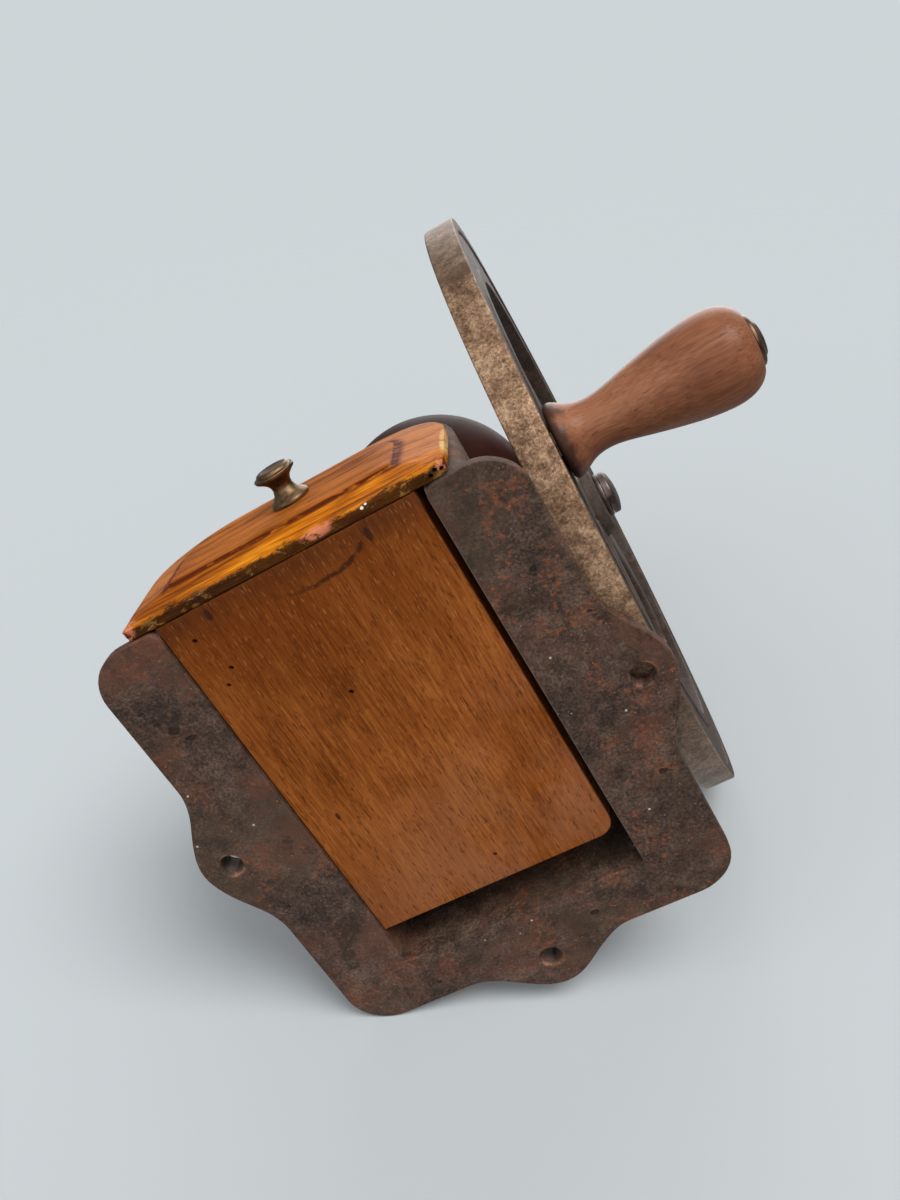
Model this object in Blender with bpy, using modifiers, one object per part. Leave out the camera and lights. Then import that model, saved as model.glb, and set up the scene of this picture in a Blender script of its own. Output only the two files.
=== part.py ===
"""Side flywheel coffee mill: cast base with a wooden drawer, horizontal burrs, globe hopper.

Metres, +Z up. The drawer pulls out towards -Y and the flywheel turns about X, on the +X side.
Sizes along X are measured from the middle of the base, along Y from the shaft, along Z from
the table. The whole assembly is then moved along X, so that its box is centred on the origin.
"""
import math

import bmesh
import bpy
from mathutils import Matrix, Vector

mm = 0.001
degree = math.pi / 180
quarter_turn = math.pi / 2
half_turn = math.pi

# Fits
gap = 0.3 * mm
overrun = 2 * mm
weld = 0.001 * mm

# Foot: flat flange with two side ears and a back ear
foot_half_width = 73.3 * mm
foot_front = 76.3 * mm
foot_back = 93.2 * mm
foot_thickness = 4.5 * mm
foot_front_corner = 14 * mm
foot_back_corner = 15.5 * mm
ear_reach = 12.4 * mm
ear_half_length = 33 * mm
ear_y = 7.1 * mm
back_ear_reach = 14.6 * mm
back_ear_half_width = 31 * mm
foot_hole_radius = 3.9 * mm
side_hole_x = 75 * mm
back_hole_y = 94.7 * mm
ear_boss_radius = 8.2 * mm
ear_boss_height = 9.5 * mm
right_ear_boss_height = 6 * mm
ear_steps = 10

# Drawer house above the foot
cavity_half_width = 45.75 * mm
cavity_back = 72.2 * mm
cavity_height = 61 * mm
cavity_corner = 8 * mm
house_foot_half_width = 60.5 * mm
house_top_half_width = 52.6 * mm
house_foot_back = 80 * mm
house_top_back = 75 * mm
house_setback = 0.3 * mm
house_start = 1 * mm
house_top = 68 * mm
house_round = 5 * mm
deck_hole_half_x = 33 * mm
deck_hole_half_y = 27 * mm

# Shaft line
shaft_height = 132 * mm
shaft_radius = 6 * mm
shaft_end_reach = 1.7 * mm
thread_radius = 4.6 * mm
thread_length = 4.4 * mm

# Upper casting
flange_half_x = 47 * mm
flange_half_y = 43 * mm
flange_thickness = 5 * mm
flange_corner = 9 * mm
skirt_foot_setback = 4 * mm
skirt_foot_half_y = 32 * mm
skirt_top_setback = 6 * mm
skirt_top_half_y = 29 * mm
skirt_round = 6 * mm
hollow_setback = 8 * mm
hollow_half_y = 27 * mm
hollow_top_half_y = 22 * mm
hollow_drop = 31 * mm
housing_half_length = 42 * mm
housing_radius = 36 * mm
housing_edge = 2 * mm
housing_wall = 16 * mm
boss_radius = 14 * mm
boss_length = 20 * mm
feed_radius = 17 * mm
chute_half_y = 14 * mm
chute_width = 6 * mm
chute_drop = 37 * mm
chute_height = 30 * mm

# Burrs and feed worm on the shaft
ring_reach = 28 * mm
ring_length = 20 * mm
ring_radius = 25.7 * mm
ring_small_bore = 15.2 * mm
ring_large_bore = 22.5 * mm
burr_clearance = 1.4 * mm
tooth_depth = 1.5 * mm
tooth_count = 20
worm_length = 24 * mm
worm_core_radius = 8 * mm
worm_crest_radius = 15.4 * mm
worm_twist = 270 * degree
worm_steps = 12
worm_outline_steps = 16
pin_radius = 1.5 * mm
spring_radius = 9.5 * mm
spring_wire = 0.9 * mm
spring_turns = 3
spring_turn_points = 9

# Bushes, cover and adjusting screw
bush_radius = 9 * mm
bush_length = 26 * mm
bush_flange_radius = 12 * mm
bush_flange_thickness = 2 * mm
left_bush_length = 10 * mm
cover_radius = 35 * mm
cover_thickness = 5 * mm
cover_boss_radius = 13 * mm
cover_boss_length = 19 * mm
adjuster_radius = 6 * mm
adjuster_length = 20 * mm
adjuster_head_radius = 13 * mm
adjuster_head_length = 12 * mm
adjuster_flute_count = 8
adjuster_flute_radius = 2.4 * mm
lock_nut_radius = 11 * mm
lock_nut_length = 6 * mm

# Flywheel
wheel_radius = 125 * mm
rim_depth = 27.5 * mm
rim_width = 11.7 * mm
rim_edge = 1.2 * mm
hub_radius = 15 * mm
hub_length = 19.6 * mm
hub_proud = 1.8 * mm
spoke_count = 5
spoke_hub_half_width = 8.5 * mm
spoke_rim_half_width = 6.5 * mm
spoke_thickness = 6 * mm
spoke_sweep = 14 * degree
spoke_steps = 6
spoke_root = 2 * mm
key_width = 3 * mm
key_height = 3.2 * mm
key_depth = 1.5 * mm
key_length = 14 * mm
washer_radius = 9.4 * mm
washer_thickness = 1.6 * mm
nut_flange_radius = 9.1 * mm
nut_length = 4.4 * mm

# Crank handle on the rim
handle_inset = 14 * mm
handle_angle = -121.6 * degree
handle_bore = 4.5 * mm
spindle_radius = 4.2 * mm
grip_length = 64 * mm
grip_radius = 15.5 * mm
grip_bore = 4.5 * mm
grip_cap_radius = 8.2 * mm
grip_cap_thickness = 3 * mm

# Globe hopper
hopper_x = 3.5 * mm
hopper_y = 5 * mm
hopper_radius = 52 * mm
hopper_wall = 1.5 * mm
throat_bore = 17 * mm
cup_radius = 28 * mm
cup_rise = 46 * mm
cup_depth = 12 * mm
cup_sink = 8 * mm
neck_radius = 23.2 * mm
globe_seat = 0.46 * mm
door_wall = 1.2 * mm
door_lift = 0.7 * mm
door_half_angle = 54 * degree
door_top_angle = 3.2 * degree
door_low_angle = 68 * degree
door_side_angle = 90 * degree
mouth_half_angle = 44 * degree
mouth_top_angle = 20 * degree
mouth_low_angle = 60 * degree
door_disc_radius = 11 * mm
band_half_height = 3.5 * mm
band_wall = 0.7 * mm
band_clearance = 0.4 * mm
pivot_radius = 2.4 * mm
pivot_head_radius = 6 * mm
pivot_head_height = 3.6 * mm
pivot_collar_drop = 1.2 * mm
door_knob_radius = 4.5 * mm
door_knob_length = 9 * mm

# Drawer
drawer_x = -1.1 * mm
drawer_half_width = 44.3 * mm
drawer_length = 133.4 * mm
drawer_lift = 1.5 * mm
drawer_floor = 5 * mm
drawer_wall = 7 * mm
drawer_top = 52 * mm
drawer_back_corner = 6 * mm
board_half_width = 55.5 * mm
board_height = 64.5 * mm
board_margin_thickness = 3.2 * mm
board_bevel_depth = 2.5 * mm
board_step = 0.8 * mm
board_step_width = 1 * mm
board_top_corner = 29 * mm
board_low_corner = 1.5 * mm
field_side_margin = 15.5 * mm
field_low_margin = 14.5 * mm
field_top_margin = 16 * mm
field_top_corner = 14 * mm
board_corner_steps = 5
knob_x = 1.2 * mm
knob_height = 36 * mm
knob_length = 11.8 * mm
knob_radius = 7 * mm
knob_screw_radius = 1.8 * mm
knob_screw_reach = 5.5 * mm
knob_screw_head = 4 * mm
knob_screw_head_height = 1.8 * mm

# Screws of the castings
body_screw_x = 41.5 * mm
body_screw_y = 37.5 * mm
body_screw_radius = 2 * mm
body_screw_length = 14 * mm
cover_screw_radius = 1.6 * mm
cover_screw_length = 13 * mm
cover_screw_circle = 30 * mm
hopper_screw_drop = 6 * mm
hopper_screw_radius = 1.7 * mm
head_radius_share = 2
head_height_share = 1.1
head_flat_share = 0.6

# Facets
small_steps = 10
coarse_steps = 18
round_steps = 30
rim_steps = 56
arc_steps = 4
globe_steps = 6

# Turned outlines: (share of the length, share of the radius)
grip_shares = (
    (0.0, 0.80), (0.04, 0.84), (0.08, 0.80), (0.13, 0.66), (0.21, 0.56), (0.30, 0.56), (0.42, 0.69),
    (0.56, 0.85), (0.69, 0.96), (0.80, 1.0), (0.89, 0.96), (0.96, 0.82), (1.0, 0.62),
)
knob_shares = (
    (0.0, 0.95), (0.12, 0.95), (0.24, 0.62), (0.42, 0.45), (0.60, 0.54), (0.74, 0.88),
    (0.86, 1.0), (0.94, 0.90), (1.0, 0.68),
)
cap_shares = ((0.0, 1.0), (0.35, 0.97), (0.70, 0.72), (0.92, 0.38), (1.0, 0.0))
nut_shares = (
    (0.0, 1.0), (0.52, 1.0), (0.66, 0.93), (0.82, 0.72), (0.94, 0.42), (1.0, 0.0),
)

# Finishes: colour, roughness, metallic
cast_iron = ((0.075, 0.048, 0.038), 0.62, 0.55)
wheel_iron = ((0.23, 0.18, 0.13), 0.5, 0.7)
wine_paint = ((0.055, 0.018, 0.015), 0.35, 0.1)
steel = ((0.36, 0.35, 0.33), 0.38, 1.0)
dark_steel = ((0.10, 0.08, 0.07), 0.45, 0.8)
brass = ((0.32, 0.21, 0.09), 0.38, 1.0)
bronze = ((0.11, 0.07, 0.04), 0.4, 0.9)
beech = ((0.30, 0.12, 0.035), 0.55, 0.0)
amber_wood = ((0.42, 0.16, 0.03), 0.35, 0.0)
grip_wood = ((0.24, 0.075, 0.04), 0.4, 0.0)

# Places that follow from the sizes
house_front = -foot_front + house_setback
shaft_left = housing_half_length + gap + left_bush_length + shaft_end_reach
boss_end = housing_half_length + boss_length
housing_wall_x = housing_half_length - housing_wall
hub_end = boss_end + gap + bush_flange_thickness + gap + hub_length
hub_start = hub_end - hub_length
wheel_face = hub_end - hub_proud
wheel_left = wheel_face - rim_width
wheel_bore_radius = wheel_radius - rim_depth
handle_distance = wheel_radius - handle_inset
washer_start = hub_end + gap
nut_start = washer_start + washer_thickness + gap
shaft_right = hub_end
grip_start = wheel_face + gap
grip_end = grip_start + grip_length
cap_end = grip_end + gap + grip_cap_thickness
cover_start = -housing_half_length - gap
cover_end = cover_start - cover_thickness
cover_boss_end = cover_end - cover_boss_length
adjuster_start = -shaft_left - gap
adjuster_end = adjuster_start - adjuster_length
adjuster_head_end = adjuster_end - adjuster_head_length
ring_bore_radius = ring_radius + gap
ring_left = -ring_reach
ring_right = ring_left + ring_length
worm_start = ring_right + gap
worm_end = worm_start + worm_length
handle_y = handle_distance * math.cos(handle_angle)
handle_z = shaft_height + handle_distance * math.sin(handle_angle)
board_back = -foot_front - gap
board_face = board_back - board_margin_thickness - board_bevel_depth - board_step
drawer_front_end = board_back + gap
middle_x = (cap_end + adjuster_head_end) / 2
skirt_foot_half_x = housing_half_length - skirt_foot_setback
skirt_top_half_x = housing_half_length - skirt_top_setback
hollow_half_x = housing_half_length - hollow_setback
hollow_top = shaft_height - hollow_drop
chute_bottom = shaft_height - chute_drop
chute_top = chute_bottom + chute_height
cup_top = shaft_height + cup_rise
cup_floor = cup_top - cup_depth
cup_start = shaft_height + cup_sink
hopper_screw_height = cup_top - hopper_screw_drop
hopper_height = cup_top + globe_seat + math.sqrt(hopper_radius ** 2 - neck_radius ** 2)

along_x = (0, quarter_turn, 0)
along_minus_x = (0, -quarter_turn, 0)
along_minus_y = (quarter_turn, 0, 0)


def clear_objects():
    for old in list(bpy.data.objects):
        bpy.data.objects.remove(old, do_unlink=True)


def new_collection(name):
    group = bpy.data.collections.new(name)
    bpy.context.scene.collection.children.link(group)
    return group


def new_empty(name, place, parent=None):
    empty = bpy.data.objects.new(name, None)
    parts.objects.link(empty)
    empty.location = place
    empty.parent = parent
    return empty


def new_material(name, finish):
    colour, roughness, metallic = finish
    material = bpy.data.materials.new(name)
    material.use_nodes = True
    shader = material.node_tree.nodes["Principled BSDF"]
    shader.inputs["Base Color"].default_value = (*colour, 1)
    shader.inputs["Roughness"].default_value = roughness
    shader.inputs["Metallic"].default_value = metallic
    material.diffuse_color = (*colour, 1)
    return material


def new_object(name, mesh, place=(0, 0, 0), turn=(0, 0, 0)):
    obj = bpy.data.objects.new(name, mesh)
    parts.objects.link(obj)
    obj.location = place
    obj.rotation_euler = turn
    return obj


def finish_part(obj, finish, carrier, sharp_angle=35 * degree):
    """Give a finished piece its material, its shading and the empty that carries it."""
    obj.data.materials.append(new_material(obj.name, finish))
    obj.data.shade_smooth()
    obj.data.set_sharp_from_angle(angle=sharp_angle)
    for modifier in obj.modifiers:
        modifier.show_render = modifier.show_viewport
    obj.parent = carrier
    if carrier is not assembly:
        obj.location = Vector(obj.location) - Vector(carrier.location)
    return obj


def as_tool(obj):
    parts.objects.unlink(obj)
    tools.objects.link(obj)
    obj.hide_render = True
    obj.display_type = 'WIRE'
    obj.parent = assembly
    return obj


def combine(target, others, operation):
    for other in others:
        modifier = target.modifiers.new(operation.title() + " " + other.name, 'BOOLEAN')
        modifier.operation = operation
        modifier.object = as_tool(other)


def cut(target, *others):
    combine(target, others, 'DIFFERENCE')


def join(target, *others):
    combine(target, others, 'UNION')


def bevel(obj, width, segments=2):
    modifier = obj.modifiers.new("Rounded edges", 'BEVEL')
    modifier.width = width
    modifier.segments = segments


def to_mesh(name, shape):
    mesh = bpy.data.meshes.new(name)
    shape.to_mesh(mesh)
    shape.free()
    return mesh


def block(name, low, high, top_low=None, top_high=None):
    """A box between two corners, with other corners in X and Y at the top if it tapers."""
    shape = bmesh.new()
    bmesh.ops.create_cube(shape, size=1)
    middle = Vector((0.5, 0.5, 0.5))
    for vertex in shape.verts:
        share = vertex.co + middle
        at_top = share.z > middle.z
        near = top_low if at_top and top_low else low
        far = top_high if at_top and top_high else high
        vertex.co.x = near[0] + share.x * (far[0] - near[0])
        vertex.co.y = near[1] + share.y * (far[1] - near[1])
        vertex.co.z = low[2] + share.z * (high[2] - low[2])
    return new_object(name, to_mesh(name, shape))


def rod(name, radius, length, place, turn=(0, 0, 0), steps=coarse_steps, end_radius=None):
    """A cylinder or cone that starts at its origin and runs up its own Z."""
    shape = bmesh.new()
    second = radius if end_radius is None else end_radius
    bmesh.ops.create_cone(shape, cap_ends=True, segments=steps, radius1=radius, radius2=second,
                          depth=length)
    bmesh.ops.translate(shape, verts=shape.verts, vec=(0, 0, length / 2))
    return new_object(name, to_mesh(name, shape), place, turn)


def lathe(name, profile, place, turn=(0, 0, 0), steps=round_steps, closed=False):
    """Turn a profile of (radius, height) about Z; it runs down its outer side."""
    shape = bmesh.new()
    points = [shape.verts.new((radius, 0, height)) for radius, height in profile]
    for first, second in zip(points, points[1:]):
        shape.edges.new((first, second))
    if closed:
        shape.edges.new((points[-1], points[0]))
    obj = new_object(name, to_mesh(name, shape), place, turn)
    modifier = obj.modifiers.new("Turned", 'SCREW')
    modifier.steps = steps
    modifier.render_steps = steps
    modifier.use_merge_vertices = True
    modifier.merge_threshold = weld
    return obj


def tube(name, outer, inner, bottom, top, place, turn=(0, 0, 0), steps=coarse_steps):
    profile = ((outer, top), (outer, bottom), (inner, bottom), (inner, top))
    return lathe(name, profile, place, turn, steps, closed=True)


def turned_shares(shares, length, radius, start=0):
    """A solid turned shape whose shares run from its seat to its far end."""
    profile = [(share_r * radius, start + share_l * length) for share_l, share_r in reversed(shares)]
    if profile[0][0] > 0:
        profile.insert(0, (0, profile[0][1]))
    profile.append((0, start))
    return profile


def arc(centre_x, centre_y, radius, first, last, steps):
    """Points on an arc, with both its ends."""
    points = []
    for step in range(steps + 1):
        angle = first + (last - first) * step / steps
        points.append((centre_x + radius * math.cos(angle), centre_y + radius * math.sin(angle)))
    return points


def circle(centre_x, centre_y, radius, steps=coarse_steps):
    return arc(centre_x, centre_y, radius, 0, math.tau * (steps - 1) / steps, steps - 1)


def plate(name, outlines, thickness, place=(0, 0, 0), turn=(0, 0, 0)):
    """A flat plate, centred on its own Z, from an outline and the holes inside it."""
    curve = bpy.data.curves.new(name, 'CURVE')
    curve.dimensions = '2D'
    curve.fill_mode = 'BOTH'
    curve.extrude = thickness / 2
    for outline in outlines:
        spline = curve.splines.new('POLY')
        spline.points.add(len(outline) - 1)
        for point, (x, y) in zip(spline.points, outline):
            point.co = (x, y, 0, 1)
        spline.use_cyclic_u = True
    return curve_to_part(name, curve, place, turn)


def curve_to_part(name, curve, place, turn):
    sketch = bpy.data.objects.new(name + " curve", curve)
    tools.objects.link(sketch)
    graph = bpy.context.evaluated_depsgraph_get()
    mesh = bpy.data.meshes.new_from_object(sketch.evaluated_get(graph))
    bpy.data.objects.remove(sketch, do_unlink=True)
    shape = bmesh.new()
    shape.from_mesh(mesh)
    bmesh.ops.remove_doubles(shape, verts=shape.verts, dist=weld)
    bmesh.ops.recalc_face_normals(shape, faces=shape.faces)
    shape.to_mesh(mesh)
    shape.free()
    mesh.name = name
    return new_object(name, mesh, place, turn)


def loft(name, rings, place=(0, 0, 0)):
    """Join closed rings of equally many points, and close both ends."""
    shape = bmesh.new()
    layers = [[shape.verts.new(point) for point in ring] for ring in rings]
    for lower, upper in zip(layers, layers[1:]):
        for index in range(len(lower)):
            after = (index + 1) % len(lower)
            shape.faces.new((lower[index], lower[after], upper[after], upper[index]))
    shape.faces.new(list(reversed(layers[0])))
    shape.faces.new(layers[-1])
    bmesh.ops.recalc_face_normals(shape, faces=shape.faces)
    return new_object(name, to_mesh(name, shape), place)


def swept(name, outline, angle, steps, place, turn):
    """A filled outline in XZ, swept about Z by less than a turn."""
    shape = bmesh.new()
    corners = [shape.verts.new((x, 0, z)) for x, z in outline]
    face = shape.faces.new(corners)
    bmesh.ops.spin(shape, geom=[face, *face.edges, *corners], cent=(0, 0, 0), axis=(0, 0, 1),
                   angle=angle, steps=steps, use_duplicate=False)
    bmesh.ops.recalc_face_normals(shape, faces=shape.faces)
    return new_object(name, to_mesh(name, shape), place, turn)


def foot_outline():
    half = arc(foot_half_width - foot_front_corner, -foot_front + foot_front_corner,
               foot_front_corner, -quarter_turn, 0, arc_steps)
    for step in range(ear_steps + 1):
        turn = math.pi * (2 * step / ear_steps - 1)
        half.append((foot_half_width + ear_reach * (1 + math.cos(turn)) / 2,
                     ear_y + ear_half_length * turn / math.pi))
    half += arc(foot_half_width - foot_back_corner, foot_back - foot_back_corner,
                foot_back_corner, 0, quarter_turn, arc_steps)
    for step in range(ear_steps // 2 + 1):
        turn = math.pi * (1 - 2 * step / ear_steps)
        half.append((back_ear_half_width * turn / math.pi,
                     foot_back + back_ear_reach * (1 + math.cos(turn)) / 2))
    return half + [(-x, y) for x, y in reversed(half[:-1])]


def base_frame():
    """The lower casting: foot, ears and the open-bottomed house of the drawer."""
    house = block("base_frame",
                  (-house_foot_half_width, house_front, house_start),
                  (house_foot_half_width, house_foot_back, house_top),
                  (-house_top_half_width, house_front),
                  (house_top_half_width, house_top_back))
    bevel(house, house_round, 3)
    foot = plate("foot", [foot_outline()], foot_thickness, (0, 0, foot_thickness / 2))
    for x, y, height in ear_bosses():
        join(foot, rod("ear_boss", ear_boss_radius, height - foot_thickness / 2,
                       (x, y, foot_thickness / 2)))
        cut(foot, rod("bench_screw_hole", foot_hole_radius, height + 2 * overrun, (x, y, -overrun)))
    corner = cavity_corner
    opening = [(-cavity_half_width, -overrun), (cavity_half_width, -overrun)]
    opening += arc(cavity_half_width - corner, cavity_height - corner, corner,
                   0, quarter_turn, arc_steps)
    opening += arc(corner - cavity_half_width, cavity_height - corner, corner,
                   quarter_turn, half_turn, arc_steps)
    length = cavity_back + foot_front + overrun
    cavity = plate("drawer_cavity", [opening], length,
                   (0, cavity_back - length / 2, 0), along_minus_y)
    outlet = block("deck_outlet",
                   (-deck_hole_half_x, -deck_hole_half_y, cavity_height - overrun),
                   (deck_hole_half_x, deck_hole_half_y, house_top + overrun))
    join(house, foot)
    cut(house, cavity, outlet)
    for x, y in body_screw_places():
        cut(house, rod("deck_screw_hole", body_screw_radius + gap,
                       house_top - cavity_height + 2 * overrun,
                       (x, y, cavity_height - overrun), steps=small_steps))
    return finish_part(house, cast_iron, assembly)


def ear_bosses():
    """Places and heights of the thickened ears; the flywheel's rim runs just over the right one."""
    return [(-side_hole_x, ear_y, ear_boss_height), (0, back_hole_y, ear_boss_height),
            (side_hole_x, ear_y, right_ear_boss_height)]


def body_screw_places():
    return [(side * body_screw_x, end * body_screw_y) for side in (-1, 1) for end in (-1, 1)]


def cover_screw_places():
    turns = [quarter_turn + math.tau * index / 3 for index in range(3)]
    return [(cover_screw_circle * math.cos(turn), shaft_height + cover_screw_circle * math.sin(turn))
            for turn in turns]


def hopper_screw_turns():
    return [quarter_turn + math.tau * index / 3 for index in range(3)]


def rounded_rectangle(half_x, half_y, corner, steps=arc_steps):
    points = []
    for quarter, (side_x, side_y) in enumerate(((1, 1), (-1, 1), (-1, -1), (1, -1))):
        points += arc(side_x * (half_x - corner), side_y * (half_y - corner), corner,
                      quarter * quarter_turn, (quarter + 1) * quarter_turn, steps)
    return points


def grinder_body():
    """The upper casting: flange, skirt, burr housing along X and the hopper's throat."""
    flange_low = house_top + gap
    flange_top = flange_low + flange_thickness
    holes = [circle(x, y, body_screw_radius + gap, small_steps) for x, y in body_screw_places()]
    body = plate("grinder_body",
                 [rounded_rectangle(flange_half_x, flange_half_y, flange_corner), *holes],
                 flange_thickness, (0, 0, flange_low + flange_thickness / 2))
    skirt = block("skirt", (-skirt_foot_half_x, -skirt_foot_half_y, flange_low + overrun),
                  (skirt_foot_half_x, skirt_foot_half_y, shaft_height),
                  (-skirt_top_half_x, -skirt_top_half_y), (skirt_top_half_x, skirt_top_half_y))
    bevel(skirt, skirt_round, 3)
    right = housing_half_length
    edge = housing_edge
    housing = lathe("housing", (
        (0, boss_end), (boss_radius, boss_end), (boss_radius, right),
        (housing_radius - edge, right), (housing_radius, right - edge),
        (housing_radius, edge - right), (housing_radius - edge, -right), (0, -right),
    ), (0, 0, shaft_height), along_x)
    throat = rod("throat", cup_radius, cup_top - cup_start, (hopper_x, hopper_y, cup_start),
                 steps=round_steps)
    join(body, skirt, housing, throat)

    hollow = block("skirt_hollow", (-hollow_half_x, -hollow_half_y, flange_low - overrun),
                   (hollow_half_x, hollow_half_y, hollow_top),
                   (-hollow_half_x, -hollow_top_half_y), (hollow_half_x, hollow_top_half_y))
    ring_bore = rod("ring_bore", ring_bore_radius, ring_right + housing_half_length + overrun,
                    (-housing_half_length - overrun, 0, shaft_height), along_x, round_steps)
    feed_bore = rod("feed_bore", feed_radius, housing_wall_x - ring_right + overrun,
                    (ring_right - overrun, 0, shaft_height), along_x, round_steps)
    bush_bore = rod("bush_bore", bush_radius + gap, boss_end - housing_wall_x + 2 * overrun,
                    (housing_wall_x - overrun, 0, shaft_height), along_x)
    throat_cut = rod("throat_bore", throat_bore, cup_top - shaft_height + overrun,
                     (hopper_x, hopper_y, shaft_height), steps=round_steps)
    neck_seat = rod("neck_seat", neck_radius + gap, cup_top - cup_floor + overrun,
                    (hopper_x, hopper_y, cup_floor), steps=round_steps)
    chute = block("chute", (ring_left - gap - chute_width, -chute_half_y, chute_bottom),
                  (ring_left - gap, chute_half_y, chute_top))
    cut(body, hollow, ring_bore, feed_bore, bush_bore, throat_cut, neck_seat, chute)
    for y, z in cover_screw_places():
        cut(body, rod("cover_screw_seat", cover_screw_radius + gap, cover_screw_length + overrun,
                      (-housing_half_length - overrun, y, z), along_x, small_steps))
    for turn in hopper_screw_turns():
        start = Vector((hopper_x, hopper_y, hopper_screw_height))
        start += (neck_radius - overrun) * Vector((math.cos(turn), math.sin(turn), 0))
        cut(body, rod("hopper_screw_hole", hopper_screw_radius + gap,
                      cup_radius - neck_radius + 2 * overrun, start,
                      (0, quarter_turn, turn), small_steps))
    return finish_part(body, wine_paint, assembly)


def toothed_cone(name, small, large, depth, length, place, turn):
    """A cone whose radius steps in and out, tooth by tooth; the small end is at its origin."""
    shape = bmesh.new()
    bmesh.ops.create_cone(shape, cap_ends=True, segments=2 * tooth_count, radius1=small,
                          radius2=large, depth=length)
    bmesh.ops.translate(shape, verts=shape.verts, vec=(0, 0, length / 2))
    pitch = math.tau / (2 * tooth_count)
    for vertex in shape.verts:
        radius = math.hypot(vertex.co.x, vertex.co.y)
        if round(math.atan2(vertex.co.y, vertex.co.x) / pitch) % 2:
            vertex.co.x *= (radius - depth) / radius
            vertex.co.y *= (radius - depth) / radius
    return new_object(name, to_mesh(name, shape), place, turn)


def burr_ring():
    ring = tube("burr_ring", ring_radius, ring_small_bore - tooth_depth - burr_clearance, 0,
                ring_length, (ring_left, 0, shaft_height), along_x, round_steps)
    slope = (ring_large_bore - ring_small_bore) / ring_length
    bore = toothed_cone("ring_teeth", ring_small_bore - slope * overrun,
                        ring_large_bore + slope * overrun, tooth_depth,
                        ring_length + 2 * overrun,
                        (ring_right + overrun, 0, shaft_height), along_minus_x)
    cut(ring, bore)
    return finish_part(ring, dark_steel, assembly)


def shaft_group(carrier):
    """Everything that turns with the shaft inside the housing."""
    centre = (0, 0, shaft_height)
    right = shaft_right + shaft_left
    shaft = lathe("drive_shaft", (
        (0, right + thread_length), (thread_radius, right + thread_length),
        (thread_radius, right), (shaft_radius, right), (shaft_radius, 0), (0, 0),
    ), (-shaft_left, 0, shaft_height), along_x, coarse_steps)
    cone = toothed_cone("burr_cone", ring_small_bore - tooth_depth - burr_clearance,
                        ring_large_bore - tooth_depth - burr_clearance, tooth_depth,
                        ring_length - gap, (ring_right - gap, 0, shaft_height), along_minus_x)
    cut(cone, rod("cone_bore", shaft_radius + gap, ring_length + 2 * overrun,
                  (ring_left - overrun, 0, shaft_height), along_x))
    pin_x = (ring_left + ring_right) / 2
    pin_half = ring_small_bore - tooth_depth - burr_clearance
    pin = rod("burr_pin", pin_radius, 2 * pin_half,
              (pin_x, 0, shaft_height - pin_half), steps=small_steps)
    cut(cone, rod("cone_pin_hole", pin_radius + gap, 2 * ring_large_bore,
                  (pin_x, 0, shaft_height - ring_large_bore), steps=small_steps))
    cut(shaft, rod("shaft_pin_hole", pin_radius + gap, 2 * ring_large_bore,
                   (pin_x, 0, shaft_height - ring_large_bore), steps=small_steps))
    low, high = key_box(gap)
    cut(shaft, block("shaft_keyway", low, high))
    low, high = key_box(0)
    key = block("wheel_key", low, high)
    for obj, finish in ((shaft, steel), (cone, dark_steel), (pin, steel), (key, steel)):
        finish_part(obj, finish, carrier)
    finish_part(feed_worm(centre), dark_steel, carrier)
    finish_part(thrust_spring(), steel, carrier)


def key_box(clearance):
    low = (hub_start + key_width - clearance, -key_width / 2 - clearance,
           shaft_height + shaft_radius - key_depth - clearance)
    high = (hub_start + key_width + key_length + clearance, key_width / 2 + clearance,
            shaft_height + shaft_radius - key_depth + key_height + clearance)
    return low, high


def feed_worm(centre):
    """A two-start worm: a lobed section that twists along the shaft."""
    outline = []
    for step in range(worm_outline_steps):
        turn = math.tau * step / worm_outline_steps
        lobe = ((1 + math.cos(2 * turn)) / 2) ** 2
        outline.append((worm_core_radius + (worm_crest_radius - worm_core_radius) * lobe, turn))
    rings = []
    for step in range(worm_steps + 1):
        along = step / worm_steps
        x = worm_start + along * worm_length
        rings.append([(x, radius * math.cos(turn + along * worm_twist),
                       radius * math.sin(turn + along * worm_twist)) for radius, turn in outline])
    worm = loft("feed_worm", rings, centre)
    cut(worm, rod("worm_bore", shaft_radius + gap, worm_length + 2 * overrun,
                  (worm_start - overrun, 0, shaft_height), along_x))
    return worm


def thrust_spring():
    """Compression spring round the shaft, between the worm and the housing wall."""
    start = worm_end + gap + spring_wire
    length = housing_wall_x - gap - spring_wire - start
    curve = bpy.data.curves.new("thrust_spring", 'CURVE')
    curve.dimensions = '3D'
    curve.bevel_depth = spring_wire
    curve.bevel_resolution = 1
    curve.use_fill_caps = True
    count = int(spring_turns * spring_turn_points)
    spline = curve.splines.new('POLY')
    spline.points.add(count)
    for index, point in enumerate(spline.points):
        turn = math.tau * index / spring_turn_points
        point.co = (start + length * index / count, spring_radius * math.cos(turn),
                    spring_radius * math.sin(turn), 1)
    pitch = length / spring_turns
    print("thrust spring: least gap between turns %.2f mm" % ((pitch - 2 * spring_wire) / mm))
    return curve_to_part("thrust_spring", curve, (0, 0, shaft_height), (0, 0, 0))


def bearings():
    right_bush = lathe("right_bush", (
        (bush_flange_radius, bush_flange_thickness), (bush_flange_radius, 0),
        (bush_radius, 0), (bush_radius, -bush_length), (shaft_radius + gap, -bush_length),
        (shaft_radius + gap, bush_flange_thickness),
    ), (boss_end + gap, 0, shaft_height), along_x, coarse_steps, closed=True)
    finish_part(right_bush, bronze, assembly)
    left_bush = tube("left_bush", bush_radius, shaft_radius + gap, 0, left_bush_length,
                     (cover_start - left_bush_length, 0, shaft_height), along_x)
    finish_part(left_bush, bronze, assembly)


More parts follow.
